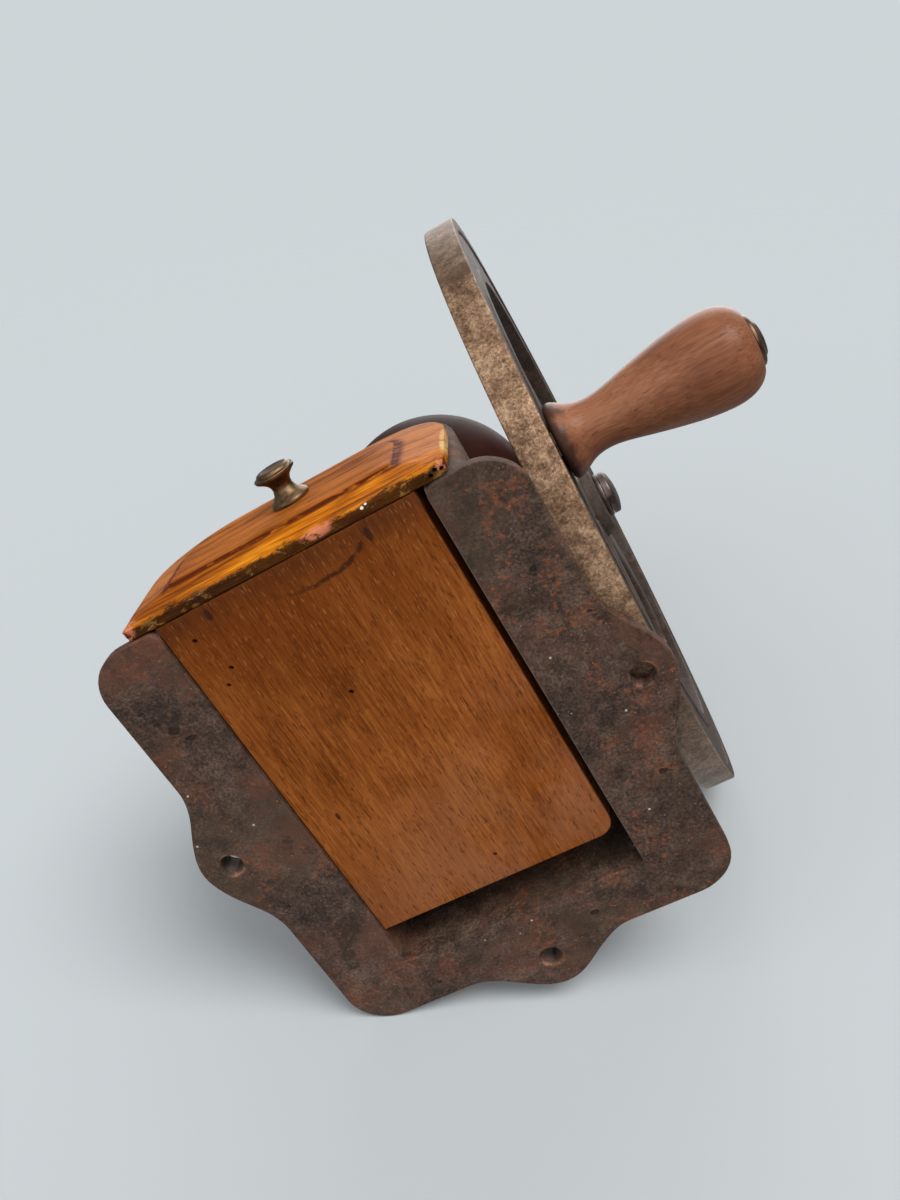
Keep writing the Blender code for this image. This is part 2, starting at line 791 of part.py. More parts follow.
def cover_plate():
    """Left end cover with the boss that holds the bush and the adjusting screw."""
    boss_top = cover_thickness + cover_boss_length
    seat = left_bush_length + gap
    bore = adjuster_radius + gap
    cover = lathe("cover_plate", (
        (cover_boss_radius, boss_top), (cover_boss_radius, cover_thickness),
        (cover_radius, cover_thickness), (cover_radius, 0), (bush_radius + gap, 0),
        (bush_radius + gap, seat), (bore, seat), (bore, boss_top),
    ), (cover_start, 0, shaft_height), along_minus_x, closed=True)
    for y, z in cover_screw_places():
        cut(cover, rod("cover_hole", cover_screw_radius + gap, cover_thickness + 2 * overrun,
                       (cover_end - overrun, y, z), along_x, small_steps))
    return finish_part(cover, wine_paint, assembly)


def adjuster(carrier):
    """Thumb screw that sets the burrs, with a fluted head and a lock nut."""
    total = adjuster_length + adjuster_head_length
    edge = adjuster_flute_radius / 2
    screw = lathe("adjusting_screw", (
        (0, total), (adjuster_head_radius - edge, total),
        (adjuster_head_radius, total - edge), (adjuster_head_radius, adjuster_length + edge),
        (adjuster_head_radius - edge, adjuster_length), (adjuster_radius, adjuster_length),
        (adjuster_radius, 0), (0, 0),
    ), (adjuster_start, 0, shaft_height), along_minus_x, coarse_steps)
    for index in range(adjuster_flute_count):
        turn = math.tau * (index + 0.5) / adjuster_flute_count
        reach = adjuster_head_radius + adjuster_flute_radius / 3
        cut(screw, rod("flute", adjuster_flute_radius, adjuster_head_length + 2 * overrun,
                       (adjuster_head_end - overrun, reach * math.cos(turn),
                        shaft_height + reach * math.sin(turn)), along_x, small_steps))
    finish_part(screw, brass, carrier)


def lock_nut(carrier):
    nut = rod("lock_nut", lock_nut_radius, lock_nut_length,
              (cover_boss_end - gap - lock_nut_length, 0, shaft_height), along_x, 6)
    cut(nut, rod("lock_nut_bore", adjuster_radius + gap, lock_nut_length + 2 * overrun,
                 (cover_boss_end - lock_nut_length - overrun, 0, shaft_height), along_x))
    finish_part(nut, dark_steel, carrier)


def spoke_star():
    """Outline of the hub's disc and its swept spokes, in the wheel's own plane."""
    points = []
    reach = wheel_bore_radius + spoke_root
    step_angle = math.tau / spoke_count
    for index in range(spoke_count):
        centre_angle = index * step_angle + handle_angle
        right, left = [], []
        for step in range(spoke_steps + 1):
            share = step / spoke_steps
            radius = hub_radius + share * (reach - hub_radius)
            half = spoke_hub_half_width + share * (spoke_rim_half_width - spoke_hub_half_width)
            bend = centre_angle + spoke_sweep * math.sin(math.pi * share)
            spread = math.asin(half / radius)
            right.append((radius * math.cos(bend - spread), radius * math.sin(bend - spread)))
            left.append((radius * math.cos(bend + spread), radius * math.sin(bend + spread)))
        points += right + list(reversed(left))
    return points


def flywheel(carrier):
    """Heavy rim, swept spokes and hub; local X, Y of the plates lie in the wheel's plane."""
    edge = rim_edge
    rim = lathe("flywheel", (
        (wheel_radius - edge, rim_width), (wheel_radius, rim_width - edge),
        (wheel_radius, edge), (wheel_radius - edge, 0), (wheel_bore_radius, 0),
        (wheel_bore_radius, rim_width),
    ), (wheel_left, 0, shaft_height), along_x, rim_steps, closed=True)
    spokes = plate("spokes", [spoke_star()], spoke_thickness,
                   (wheel_left + rim_width / 2, 0, shaft_height), (quarter_turn, 0, quarter_turn))
    hub = rod("hub", hub_radius, hub_length, (hub_start, 0, shaft_height), along_x, round_steps)
    join(rim, spokes, hub)
    bore = rod("hub_bore", shaft_radius + gap, hub_length + 2 * overrun,
               (hub_start - overrun, 0, shaft_height), along_x)
    low, high = key_box(gap)
    keyway = block("hub_keyway", (hub_start - overrun, low[1], low[2]),
                   (hub_end + overrun, high[1], high[2]))
    hole = rod("handle_hole", handle_bore, rim_width + 2 * overrun,
               (wheel_left - overrun, handle_y, handle_z), along_x, small_steps)
    cut(rim, bore, keyway, hole)
    finish_part(rim, wheel_iron, carrier)


def wheel_nut(carrier):
    washer = tube("hub_washer", washer_radius, thread_radius + gap, 0, washer_thickness,
                  (washer_start, 0, shaft_height), along_x)
    finish_part(washer, dark_steel, carrier)
    nut = lathe("hub_nut", turned_shares(nut_shares, nut_length, nut_flange_radius),
                (nut_start, 0, shaft_height), along_x, coarse_steps)
    depth = shaft_right + thread_length - nut_start + gap
    cut(nut, rod("nut_bore", thread_radius + gap, depth + overrun,
                 (nut_start - overrun, 0, shaft_height), along_x))
    finish_part(nut, dark_steel, carrier)


def handle(wheel_carrier, grip_carrier):
    place = (wheel_left, handle_y, handle_z)
    spindle = rod("handle_spindle", spindle_radius, grip_end - wheel_left, place, along_x,
                  small_steps)
    finish_part(spindle, steel, wheel_carrier)
    grip = lathe("handle_grip", turned_shares(grip_shares, grip_length, grip_radius),
                 (grip_start, handle_y, handle_z), along_x, coarse_steps)
    cut(grip, rod("grip_bore", grip_bore, grip_length + 2 * overrun,
                  (grip_start - overrun, handle_y, handle_z), along_x, small_steps))
    finish_part(grip, grip_wood, grip_carrier)
    cap = lathe("grip_cap", turned_shares(cap_shares, grip_cap_thickness, grip_cap_radius),
                (grip_end + gap, handle_y, handle_z), along_x, coarse_steps)
    finish_part(cap, brass, wheel_carrier)


def sphere_arc(radius, first, last, steps):
    """Points (radius, height) on a sphere's outline; angles run down from its top."""
    points = []
    for step in range(steps + 1):
        angle = first + (last - first) * step / steps
        points.append((radius * math.sin(angle), radius * math.cos(angle)))
    return points


def hopper_shells():
    """Lower bowl with its neck, upper dome with the filling mouth, and the band inside the seam."""
    centre = (hopper_x, hopper_y, hopper_height)
    inner = hopper_radius - hopper_wall
    seam = math.asin(gap / hopper_radius)
    outer_low = math.pi - math.asin(neck_radius / hopper_radius)
    neck_inner = neck_radius - hopper_wall
    inner_low = math.pi - math.asin(neck_inner / inner)
    neck_end = cup_floor + gap - hopper_height
    profile = sphere_arc(hopper_radius, quarter_turn, outer_low, globe_steps)
    profile += [(neck_radius, neck_end), (neck_inner, neck_end)]
    profile += sphere_arc(inner, inner_low, quarter_turn, globe_steps)
    bowl = lathe("hopper_bowl", profile, centre, closed=True)
    finish_part(bowl, wine_paint, assembly)

    top = math.asin((pivot_radius + gap) / hopper_radius)
    profile = sphere_arc(hopper_radius, top, quarter_turn - seam, globe_steps)
    profile += sphere_arc(inner, quarter_turn - seam, top, globe_steps)
    dome = lathe("hopper_dome", profile, centre, closed=True)
    mouth = sphere_arc(hopper_radius + overrun, mouth_top_angle, mouth_low_angle, arc_steps)
    mouth += sphere_arc(inner - overrun, mouth_low_angle, mouth_top_angle, arc_steps)
    cut(dome, swept("filling_mouth", mouth, 2 * mouth_half_angle, arc_steps, centre,
                    (0, 0, -quarter_turn - door_side_angle - mouth_half_angle)))
    finish_part(dome, wine_paint, assembly)

    band_radius = math.sqrt(inner ** 2 - band_half_height ** 2) - band_clearance
    band = tube("hopper_band", band_radius, band_radius - band_wall,
                -band_half_height, band_half_height, centre, steps=round_steps)
    finish_part(band, wine_paint, assembly)


def hopper_door(carrier):
    """Curved door that turns about the pivot on top of the dome."""
    centre = (hopper_x, hopper_y, hopper_height)
    inner = hopper_radius + door_lift
    outer = inner + door_wall
    profile = sphere_arc(outer, door_top_angle, door_low_angle, globe_steps)
    profile += sphere_arc(inner, door_low_angle, door_top_angle, globe_steps)
    door = lathe("hopper_door", profile, centre, closed=True)
    reach = outer + overrun
    waste = ((door_disc_radius, 0), (reach, 0), (reach, reach), (door_disc_radius, reach))
    cut(door, swept("door_waste", waste, math.tau - 2 * door_half_angle, small_steps, centre,
                    (0, 0, -quarter_turn - door_side_angle + door_half_angle)))
    finish_part(door, wine_paint, carrier)

    head = outer + gap
    shank_low = hopper_radius - hopper_wall - pivot_collar_drop
    pivot = lathe("door_pivot", (
        (0, head + pivot_head_height), (pivot_head_radius / 2, head + pivot_head_height),
        (pivot_head_radius, head + pivot_head_height / 3), (pivot_head_radius, head),
        (pivot_radius, head), (pivot_radius, shank_low), (pivot_head_radius - gap, shank_low),
        (pivot_head_radius - gap, shank_low - pivot_head_height / 2),
        (0, shank_low - pivot_head_height / 2),
    ), centre, steps=coarse_steps)
    finish_part(pivot, brass, assembly)

    tilt = (mouth_top_angle + door_low_angle) / 2
    out = math.sin(tilt)
    seat = Vector((-out * math.sin(door_side_angle), -out * math.cos(door_side_angle),
                   math.cos(tilt))) * (outer + gap)
    knob = lathe("door_knob", turned_shares(knob_shares, door_knob_length, door_knob_radius),
                 Vector(centre) + seat, (tilt, 0, -door_side_angle), small_steps)
    finish_part(knob, brass, carrier)


def board_ring(y, half_width, low, high, low_corner, top_corner):
    """One ring of the drawer's front board, as points at depth y."""
    points = []
    corners = ((1, 1, top_corner), (-1, 1, top_corner), (-1, -1, low_corner), (1, -1, low_corner))
    for quarter, (side, up, radius) in enumerate(corners):
        height = high - radius if up > 0 else low + radius
        points += arc(side * (half_width - radius), height, radius, quarter * quarter_turn,
                      (quarter + 1) * quarter_turn, board_corner_steps)
    return [(drawer_x + x, y, z) for x, z in points]


def drawer_front(carrier):
    """Fielded board: thin margin, wide bevel all round and a raised field."""
    low = drawer_lift
    high = low + board_height
    edge_y = board_back - board_margin_thickness
    bevel_y = edge_y - board_bevel_depth
    field = (board_half_width - field_side_margin, low + field_low_margin,
             high - field_top_margin, board_low_corner, field_top_corner)
    inset = board_step_width
    raised = (field[0] - inset, field[1] + inset, field[2] - inset, field[3], field[4] - inset)
    outer = (board_half_width, low, high, board_low_corner, board_top_corner)
    board = loft("drawer_front", [
        board_ring(board_back, *outer), board_ring(edge_y, *outer),
        board_ring(bevel_y, *field), board_ring(board_face, *raised),
    ])
    cut(board, rod("knob_screw_hole", knob_screw_radius + gap,
                   board_back - board_face + 2 * overrun,
                   (knob_x, board_back + overrun, knob_height), along_minus_y, small_steps))
    finish_part(board, amber_wood, carrier)


def drawer_box(carrier):
    left = drawer_x - drawer_half_width
    right = drawer_x + drawer_half_width
    front = drawer_front_end
    back = front + drawer_length
    corner = drawer_back_corner
    outline = [(left, front), (right, front)]
    outline += arc(right - corner, back - corner, corner, 0, quarter_turn, arc_steps)
    outline.append((left, back))
    floor = plate("drawer_bottom", [outline], drawer_floor,
                  (0, 0, drawer_lift + drawer_floor / 2))
    finish_part(floor, beech, carrier)
    low = drawer_lift + drawer_floor + gap
    wall_back = back - corner / 2
    side_left = block("drawer_side_left", (left, front, low), (left + drawer_wall, wall_back, drawer_top))
    side_right = block("drawer_side_right", (right - drawer_wall, front, low),
                       (right, wall_back, drawer_top))
    rear = block("drawer_back", (left + drawer_wall + gap, wall_back - drawer_wall, low),
                 (right - drawer_wall - gap, wall_back, drawer_top))
    for piece in (side_left, side_right, rear):
        finish_part(piece, beech, carrier)


def drawer_knob(carrier):
    seat = (knob_x, board_face - gap, knob_height)
    knob = lathe("drawer_knob", turned_shares(knob_shares, knob_length, knob_radius), seat,
                 along_minus_y, coarse_steps)
    cut(knob, rod("knob_bore", knob_screw_radius + gap, knob_screw_reach + gap + overrun,
                  (knob_x, board_face - gap + overrun, knob_height), along_minus_y,
                  small_steps))
    finish_part(knob, bronze, carrier)
    reach = board_back - board_face + gap + knob_screw_reach
    screw = lathe("knob_screw", (
        (0, reach), (knob_screw_radius, reach), (knob_screw_radius, -gap),
        (knob_screw_head, -gap), (knob_screw_head, -gap - knob_screw_head_height),
        (0, -gap - knob_screw_head_height),
    ), (knob_x, board_back, knob_height), along_minus_y, small_steps)
    finish_part(screw, steel, carrier)


def slotted_screw(name, radius, length, place, turn):
    """Round-headed screw: its head's underside is at its origin, its shank runs down its Z."""
    head = radius * head_radius_share
    height = radius * head_height_share
    screw = lathe(name, (
        (0, height), (head * head_flat_share, height), (head, 0), (radius, 0),
        (radius, -length), (0, -length),
    ), place, turn, small_steps)
    finish_part(screw, dark_steel, assembly)


def casting_screws():
    seat = house_top + gap + flange_thickness + gap
    for index, (x, y) in enumerate(body_screw_places()):
        slotted_screw("body_screw_%d" % (index + 1), body_screw_radius, body_screw_length,
                      (x, y, seat), (0, 0, 0))
    for index, (y, z) in enumerate(cover_screw_places()):
        slotted_screw("cover_screw_%d" % (index + 1), cover_screw_radius, cover_screw_length,
                      (cover_end - gap, y, z), along_minus_x)
    for index, turn in enumerate(hopper_screw_turns()):
        seat = Vector((hopper_x, hopper_y, hopper_screw_height))
        seat += (cup_radius + gap) * Vector((math.cos(turn), math.sin(turn), 0))
        slotted_screw("hopper_screw_%d" % (index + 1), hopper_screw_radius,
                      cup_radius - neck_radius, seat, (0, quarter_turn, turn))


clear_objects()
parts = new_collection("coffee_mill")
tools = new_collection("cutting_tools")
assembly = new_empty("assembly", (-middle_x, 0, 0))
wheel_axis = new_empty("flywheel_axis", (0, 0, shaft_height), assembly)
grip_axis = new_empty("grip_axis", (0, handle_y, handle_z), assembly)
adjuster_axis = new_empty("adjuster_axis", (adjuster_end, 0, shaft_height), assembly)
nut_axis = new_empty("lock_nut_axis", (cover_boss_end, 0, shaft_height), assembly)
door_axis = new_empty("door_axis", (hopper_x, hopper_y, hopper_height), assembly)
drawer_slide = new_empty("drawer_slide", (drawer_x, 0, 0), assembly)

base_frame()
grinder_body()
burr_ring()
bearings()
cover_plate()
shaft_group(wheel_axis)
flywheel(wheel_axis)
wheel_nut(wheel_axis)
handle(wheel_axis, grip_axis)
adjuster(adjuster_axis)
lock_nut(nut_axis)
hopper_shells()
hopper_door(door_axis)
drawer_front(drawer_slide)
drawer_box(drawer_slide)
drawer_knob(drawer_slide)
casting_screws()
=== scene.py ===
import math

import bmesh
import bpy
from mathutils import Matrix, Vector, noise


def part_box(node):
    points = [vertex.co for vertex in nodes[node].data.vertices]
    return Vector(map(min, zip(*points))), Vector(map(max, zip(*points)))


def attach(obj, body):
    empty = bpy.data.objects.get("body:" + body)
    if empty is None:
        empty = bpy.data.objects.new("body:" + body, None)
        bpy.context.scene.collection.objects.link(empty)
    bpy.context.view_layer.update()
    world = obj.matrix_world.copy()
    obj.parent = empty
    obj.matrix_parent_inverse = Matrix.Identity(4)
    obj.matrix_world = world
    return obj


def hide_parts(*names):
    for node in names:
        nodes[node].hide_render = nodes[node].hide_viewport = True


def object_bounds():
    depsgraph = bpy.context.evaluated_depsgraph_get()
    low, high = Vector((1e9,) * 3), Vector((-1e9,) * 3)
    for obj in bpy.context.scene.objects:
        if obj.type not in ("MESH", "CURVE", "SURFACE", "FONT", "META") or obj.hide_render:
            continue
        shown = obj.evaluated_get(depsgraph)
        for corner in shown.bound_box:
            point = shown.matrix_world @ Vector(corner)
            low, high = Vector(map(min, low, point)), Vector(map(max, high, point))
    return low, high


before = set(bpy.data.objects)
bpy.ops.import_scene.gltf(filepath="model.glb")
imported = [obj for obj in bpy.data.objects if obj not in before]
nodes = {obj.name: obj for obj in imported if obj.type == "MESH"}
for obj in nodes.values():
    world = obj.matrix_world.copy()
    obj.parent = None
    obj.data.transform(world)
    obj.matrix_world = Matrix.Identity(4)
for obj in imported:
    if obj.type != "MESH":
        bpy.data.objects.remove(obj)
cadLow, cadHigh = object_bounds()
print("frame loaded:", len(nodes), "nodes")

mm = 0.001
quarterTurn = math.pi / 2
alongX, alongZ = (1, 0, 0), (0, 0, 1)
scene = bpy.context.scene


def middleOf(name):
    low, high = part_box(name)
    return (low + high) / 2


baseLow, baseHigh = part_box("base_frame")
baseMiddleX = (baseLow.x + baseHigh.x) / 2
shaftLow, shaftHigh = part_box("drive_shaft")
shaftHeight = (shaftLow.z + shaftHigh.z) / 2
shaftLine = Vector((0, 0, shaftHeight))
globeCentre = middleOf("hopper_band")
wheelLow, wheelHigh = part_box("flywheel")
wheelRadius = (wheelHigh.y - wheelLow.y) / 2


def place(x, y, z):  # millimetres from the middle of the base and the table
    return Vector((baseMiddleX + x * mm, y * mm, z * mm))


def smoothStep(value, low, high):
    share = min(1, max(0, (value - low) / (high - low)))
    return share * share * (3 - 2 * share)


def addObject(name, data):
    made = bpy.data.objects.new(name, data)
    scene.collection.objects.link(made)
    return made


# Camera, as the photograph was taken: from under the foot, in front of the drawer
view = {
    "place": (96.5, -151.1, -262.9),
    "right": (0.8735, 0.4867, 0.0004),
    "down": (-0.4402, 0.7904, -0.4260),
    "frame": (900, 1200),
    "focalPixels": 998.6,
}


def addCamera():
    right = Vector(view["right"]).normalized()
    down = Vector(view["down"])
    down = (down - right * down.dot(right)).normalized()
    forward = right.cross(down)
    data = bpy.data.cameras.new("camera")
    data.sensor_width = 36
    data.lens = data.sensor_width * view["focalPixels"] / max(view["frame"])
    data.clip_start, data.clip_end = 0.01, 20
    camera = addObject("camera", data)
    turn = Matrix((right, -down, -forward)).transposed().to_4x4()
    camera.matrix_world = Matrix.Translation(place(*view["place"])) @ turn
    scene.camera = camera
    return forward


forward = addCamera()
print("camera in place")


# Node helpers: a new node joins the tree that its linked inputs are in
def isSocket(value):
    return isinstance(value, bpy.types.NodeSocket)


def fill(inputs, values):
    for name, value in values.items():
        socket = inputs[name]
        if isSocket(value):
            value.id_data.links.new(value, socket)
        else:
            socket.default_value = (*value, 1) if socket.type == 'RGBA' else value


def addNode(kind, inputs, **settings):
    tree = next(value.id_data for value in inputs.values() if isSocket(value))
    made = tree.nodes.new("ShaderNode" + kind)
    for name, value in settings.items():
        setattr(made, name, value)
    fill(made.inputs, inputs)
    return made


def maths(operation, *values, clamp=False):
    return addNode("Math", dict(enumerate(values)), operation=operation, use_clamp=clamp).outputs[0]


def joined(operation, values):
    made = values[0]
    for value in values[1:]:
        made = maths(operation, made, value)
    return made


def plus(*values):
    return joined('ADD', values)


def minus(first, second):
    return maths('SUBTRACT', first, second)


def times(*values):
    return joined('MULTIPLY', values)


def highest(*values):
    return joined('MAXIMUM', values)


def blended(*pairs):  # (value, weight)
    return plus(*[times(value, weight) for value, weight in pairs])


def vectorMaths(operation, *values):
    return addNode("VectorMath", dict(enumerate(values)), operation=operation).outputs


def axesOf(vector):
    return addNode("SeparateXYZ", {0: vector}).outputs


def between(value, low, high, start=0.0, end=1.0):
    inputs = dict(enumerate((value, low, high, start, end)))
    return addNode("MapRange", inputs, interpolation_type='SMOOTHSTEP').outputs[0]


def cloud(vector, scale, detail=4.0, roughness=0.55, distortion=0.0):
    return addNode("TexNoise", {"Vector": vector, "Scale": scale, "Detail": detail,
                                "Roughness": roughness, "Distortion": distortion}).outputs[0]


def stretched(vector, scale=(1, 1, 1), turn=(0, 0, 0), shift=(0, 0, 0)):
    return addNode("Mapping", {"Vector": vector, "Scale": scale, "Rotation": turn,
                               "Location": shift}).outputs[0]


def ramp(value, *stops):
    made = addNode("ValToRGB", {0: value})
    points = made.color_ramp.elements
    while len(points) < len(stops):
        points.new(0.5)
    for point, (position, colour) in zip(points, stops):
        point.position = position
        point.color = (*colour, 1)
    return made.outputs[0]


def mixColour(share, first, second):
    return addNode("Mix", {0: share, 6: first, 7: second}, data_type='RGBA').outputs[2]


def layered(colour, look, **masks):  # a name in the look stands for a colour and its strength
    for name, mask in masks.items():
        coat, strength = look[name]
        colour = mixColour(times(mask, strength), colour, coat)
    return colour


# Masks at given places; centres and sizes in millimetres from the middle of the base
def away(point, centre, sizes):
    moved = vectorMaths('SUBTRACT', point, place(*centre))[0]
    scaled = vectorMaths('MULTIPLY', moved, [1 / (size * mm) for size in sizes])[0]
    return vectorMaths('LENGTH', scaled)["Value"]


def blobs(point, spots, softness=0.5):
    return highest(*[between(away(point, *spot), 1.0, 1.0 - softness) for spot in spots])


def newGroup(name, build, **inputs):
    group = bpy.data.node_groups.new(name, "ShaderNodeTree")
    group.interface.new_socket("Vector", in_out='INPUT', socket_type="NodeSocketVector")
    for label, value in inputs.items():
        socket = group.interface.new_socket(label, in_out='INPUT', socket_type="NodeSocketFloat")
        socket.default_value = value
    given = group.nodes.new("NodeGroupInput").outputs
    results = build(given["Vector"], *[given[label] for label in inputs])
    for label in results:
        group.interface.new_socket(label, in_out='OUTPUT', socket_type="NodeSocketFloat")
    fill(group.nodes.new("NodeGroupOutput").inputs, results)
    return group


def useGroup(group, *values):  # the vector first, then the values in the group's order
    return addNode("Group", dict(enumerate(values)), node_tree=group).outputs


def maskOf(group, *values):
    return useGroup(group, *values)["Mask"]


# Blotches that are broad at their heart and break up into specks at their rim
def makePatches(vector, scale, amount, softness):
    broad = cloud(vector, scale, 5.0, 0.62, 0.4)
    fine = cloud(vector, times(scale, 9.0), 4.0, 0.6)
    level = minus(0.80, times(amount, 0.6))
    return {"Mask": between(blended((broad, 0.68), (fine, 0.32)), level, plus(level, softness)),
            "Specks": between(fine, 0.52, 0.68)}


# Convex edges that hands have rubbed
def makeEdgeWear(vector, width, breakup):
    group = vector.id_data.nodes
    pointed = group.new("ShaderNodeNewGeometry").outputs["Pointiness"]
    facing = axesOf(group.new("ShaderNodeTexCoord").outputs["Normal"])
    rough = minus(cloud(vector, 220.0, 5.0, 0.65), 0.5)
    sharp = between(plus(pointed, times(rough, breakup, 0.12)), 0.515, plus(width, 0.515))
    flat = highest(*[maths('ABSOLUTE', facing[axis]) for axis in "XYZ"])
    return {"Mask": times(between(flat, 0.992, 0.96), sharp)}


# Sparse pale grains of dust and lime
def makeDust(vector, scale, size, amount):
    cells = addNode("TexVoronoi", {"Vector": vector, "Scale": scale, "Randomness": 1.0}).outputs
    dots = between(cells["Distance"], size, times(size, 0.6))
    chosen = addNode("SeparateColor", {0: cells["Color"]}).outputs[0]
    return {"Mask": times(dots, between(chosen, minus(1.0, amount), minus(1.02, amount)))}


# Wood cut along its growth rings. The vector's Y runs along the grain.
def makeGrain(vector, ringScale, wander):
    slow = stretched(vector, (1.0, 0.12, 1.0))
    bend = cloud(slow, 14.0, 3.0, 0.5)
    ring = addNode("TexWave", {"Vector": slow, "Scale": ringScale, "Distortion": times(wander, 20.0),
                               "Detail": 3.0, "Detail Scale": 0.7}, bands_direction='X')
    fibres = cloud(stretched(vector, (1.0, 0.05, 1.0)), 1500.0, 3.0, 0.6)
    short = cloud(stretched(vector, (1.0, 0.17, 1.0), shift=(3, 1, 2)), 1700.0, 2.0, 0.5)
    flecks = between(short, 0.58, 0.68)
    return {"Rings": blended((ring.outputs["Fac"], 0.6), (bend, 0.4)), "Fibres": fibres,
            "Flecks": flecks, "Height": minus(fibres, times(flecks, 0.6))}


patches = newGroup("patches", makePatches, Scale=60.0, Amount=0.5, Softness=0.08)
edgeWear = newGroup("edge wear", makeEdgeWear, Width=0.06, Breakup=0.5)
dust = newGroup("dust", makeDust, Scale=300.0, Size=0.18, Amount=0.5)
grain = newGroup("wood grain", makeGrain, **{"Ring Scale": 60.0, "Wander": 0.35})


def startMaterial(name):
    material = bpy.data.materials.new(name)
    material.use_nodes = True
    return material, material.node_tree.nodes.new("ShaderNodeTexCoord").outputs["Object"]


def finishMaterial(material, look, colour, roughness, height, depth, others=None):
    bump = addNode("Bump", {"Height": height, "Strength": look["bump"], "Distance": depth * mm})
    fill(material.node_tree.nodes["Principled BSDF"].inputs, {
        "Base Color": colour, "Roughness": roughness, "Normal": bump.outputs[0],
        "Specular IOR Level": look["specular"], **(others or {})})
    return material


# Raw casting of the foot: dark iron, brown rust bloom, orange spots, soot, pale grains, and painted shade in
# the pits and the bolt holes' walls.
# Coats are a colour and its strength.
castIron = {
    "darkest": (0.018, 0.011, 0.008), "middle": (0.068, 0.041, 0.029), "palest": (0.190, 0.122, 0.090),
    "olive": (0.070, 0.047, 0.028), "bloom": ((0.115, 0.047, 0.029), 0.65),
    "rust": ((0.250, 0.082, 0.036), 0.75), "soot": ((0.022, 0.016, 0.010), 0.6),
    # hollow coat: painted shade, the darkest iron laid into the pits and the bolt holes' walls
    "orange": ((0.50, 0.20, 0.10), 0.55), "hollow": ((0.018, 0.011, 0.008), 0.85),
    "worn": ((0.23, 0.18, 0.15), 0.35), "crumbs": ((0.33, 0.20, 0.13), 0.7),
    "grains": ((0.55, 0.48, 0.42), 1), "roughness": 0.46, "bump": 0.9, "specular": 0.2,
    "pits": ((-60.7, -45.1, 2.6), (-57.5, -40.5, 1.8), (-63.8, -49.5, 1.5), (-66.0, -55.0, 1.1),
             (66.0, 42.0, 1.5), (-68.0, 31.0, 1.3), (22.0, 84.0, 1.8), (62.0, -40.0, 1.3),
             (-40.0, 86.0, 1.2), (70.0, -20.0, 1.0)),
    "pitWobble": 2,
}
holeSpots = ((-75.0, 7.1), (75.0, 7.1), (0.0, 94.7))


def makeCastIron():
    look = castIron
    material, point = startMaterial("cast iron")
    middle = cloud(point, 150.0, 6.0, 0.75)
    fine = cloud(point, 1000.0, 5.0, 0.8)
    shade = blended((cloud(point, 26.0, 6.0, 0.62), 0.20), (middle, 0.34), (fine, 0.46))
    colour = ramp(shade, (0.42, look["darkest"]), (0.50, look["middle"]), (0.60, look["palest"]))
    green = between(cloud(stretched(point, shift=(2, 0.4, 0)), 21.0), 0.50, 0.60, 0.0, 0.6)
    colour = mixColour(green, colour, mixColour(0.7, colour, look["olive"]))
    bloom = maskOf(patches, point, 30.0, 0.55, 0.14)
    rust = useGroup(patches, stretched(point, shift=(0.3, 0.1, 0)), 58.0, 0.47, 0.08)
    soot = maskOf(patches, stretched(point, shift=(0.6, 0.9, 0)), 72.0, 0.41, 0.06)
    toRight = between(axesOf(point)["X"], -0.11, 0.05, 0.6, 1.2)
    spots = maths('MULTIPLY', times(rust["Mask"], toRight), plus(0.35, rust["Specks"]), clamp=True)
    rims = times(blobs(point, [((x, y, 0), (5.3, 5.3, 2.2)) for x, y in holeSpots], 0.25),
                 between(middle, 0.44, 0.60))
    shaken = addNode("TexNoise", {"Vector": point, "Scale": 260.0}).outputs[1]
    wobble = vectorMaths('MULTIPLY', shaken, (look["pitWobble"] * mm, look["pitWobble"] * mm, 0))[0]
    pits = blobs(vectorMaths('SUBTRACT', point, wobble)[0],
                 [((x - 1, y - 1, 0), (size, size * 0.7, 2)) for x, y, size in look["pits"]], 0.4)
    # painted shade on the inner walls of the bolt holes; with the pits it takes the darkest colour
    walls = blobs(point, [((x, y, 6.0), (4.4, 4.4, 5.6)) for x, y in holeSpots], 0.12)
    colour = layered(colour, look, bloom=bloom, rust=spots, soot=soot, orange=rims,
                     hollow=highest(pits, walls), worn=maskOf(edgeWear, point, 0.10, 0.6),
                     crumbs=maskOf(dust, point, 760.0, 0.24, 0.07),
                     grains=maskOf(dust, point, 330.0, 0.17, 0.03))
    rough = plus(times(bloom, 0.14), times(fine, 0.2), look["roughness"])
    height = minus(plus(fine, times(middle, 1.2), times(spots, 0.35)), times(pits, 1.6))
    return finishMaterial(material, look, colour, rough, height, 0.5)


# Flywheel: the turned rim is bare and mottled, the faces keep their dark paint
wheelIron = {
    "stain": (0.100, 0.056, 0.031), "bare": (0.255, 0.150, 0.088), "bright": (0.52, 0.35, 0.22),
    "pits": ((0.062, 0.034, 0.019), 0.55), "grey": ((0.275, 0.272, 0.262), 0.62),
    "shadow": ((0.062, 0.034, 0.019), 0.55), "line": ((0.100, 0.056, 0.031), 0.6),
    "paint": (0.028, 0.018, 0.014), "paintPale": (0.070, 0.048, 0.038),
    "rust": ((0.125, 0.060, 0.038), 0.55), "worn": ((0.255, 0.150, 0.088), 0.7),
    "treadRoughness": 0.38, "faceRoughness": 0.47, "metallic": 0.60, "specular": 0.25, "bump": 0.4,
}


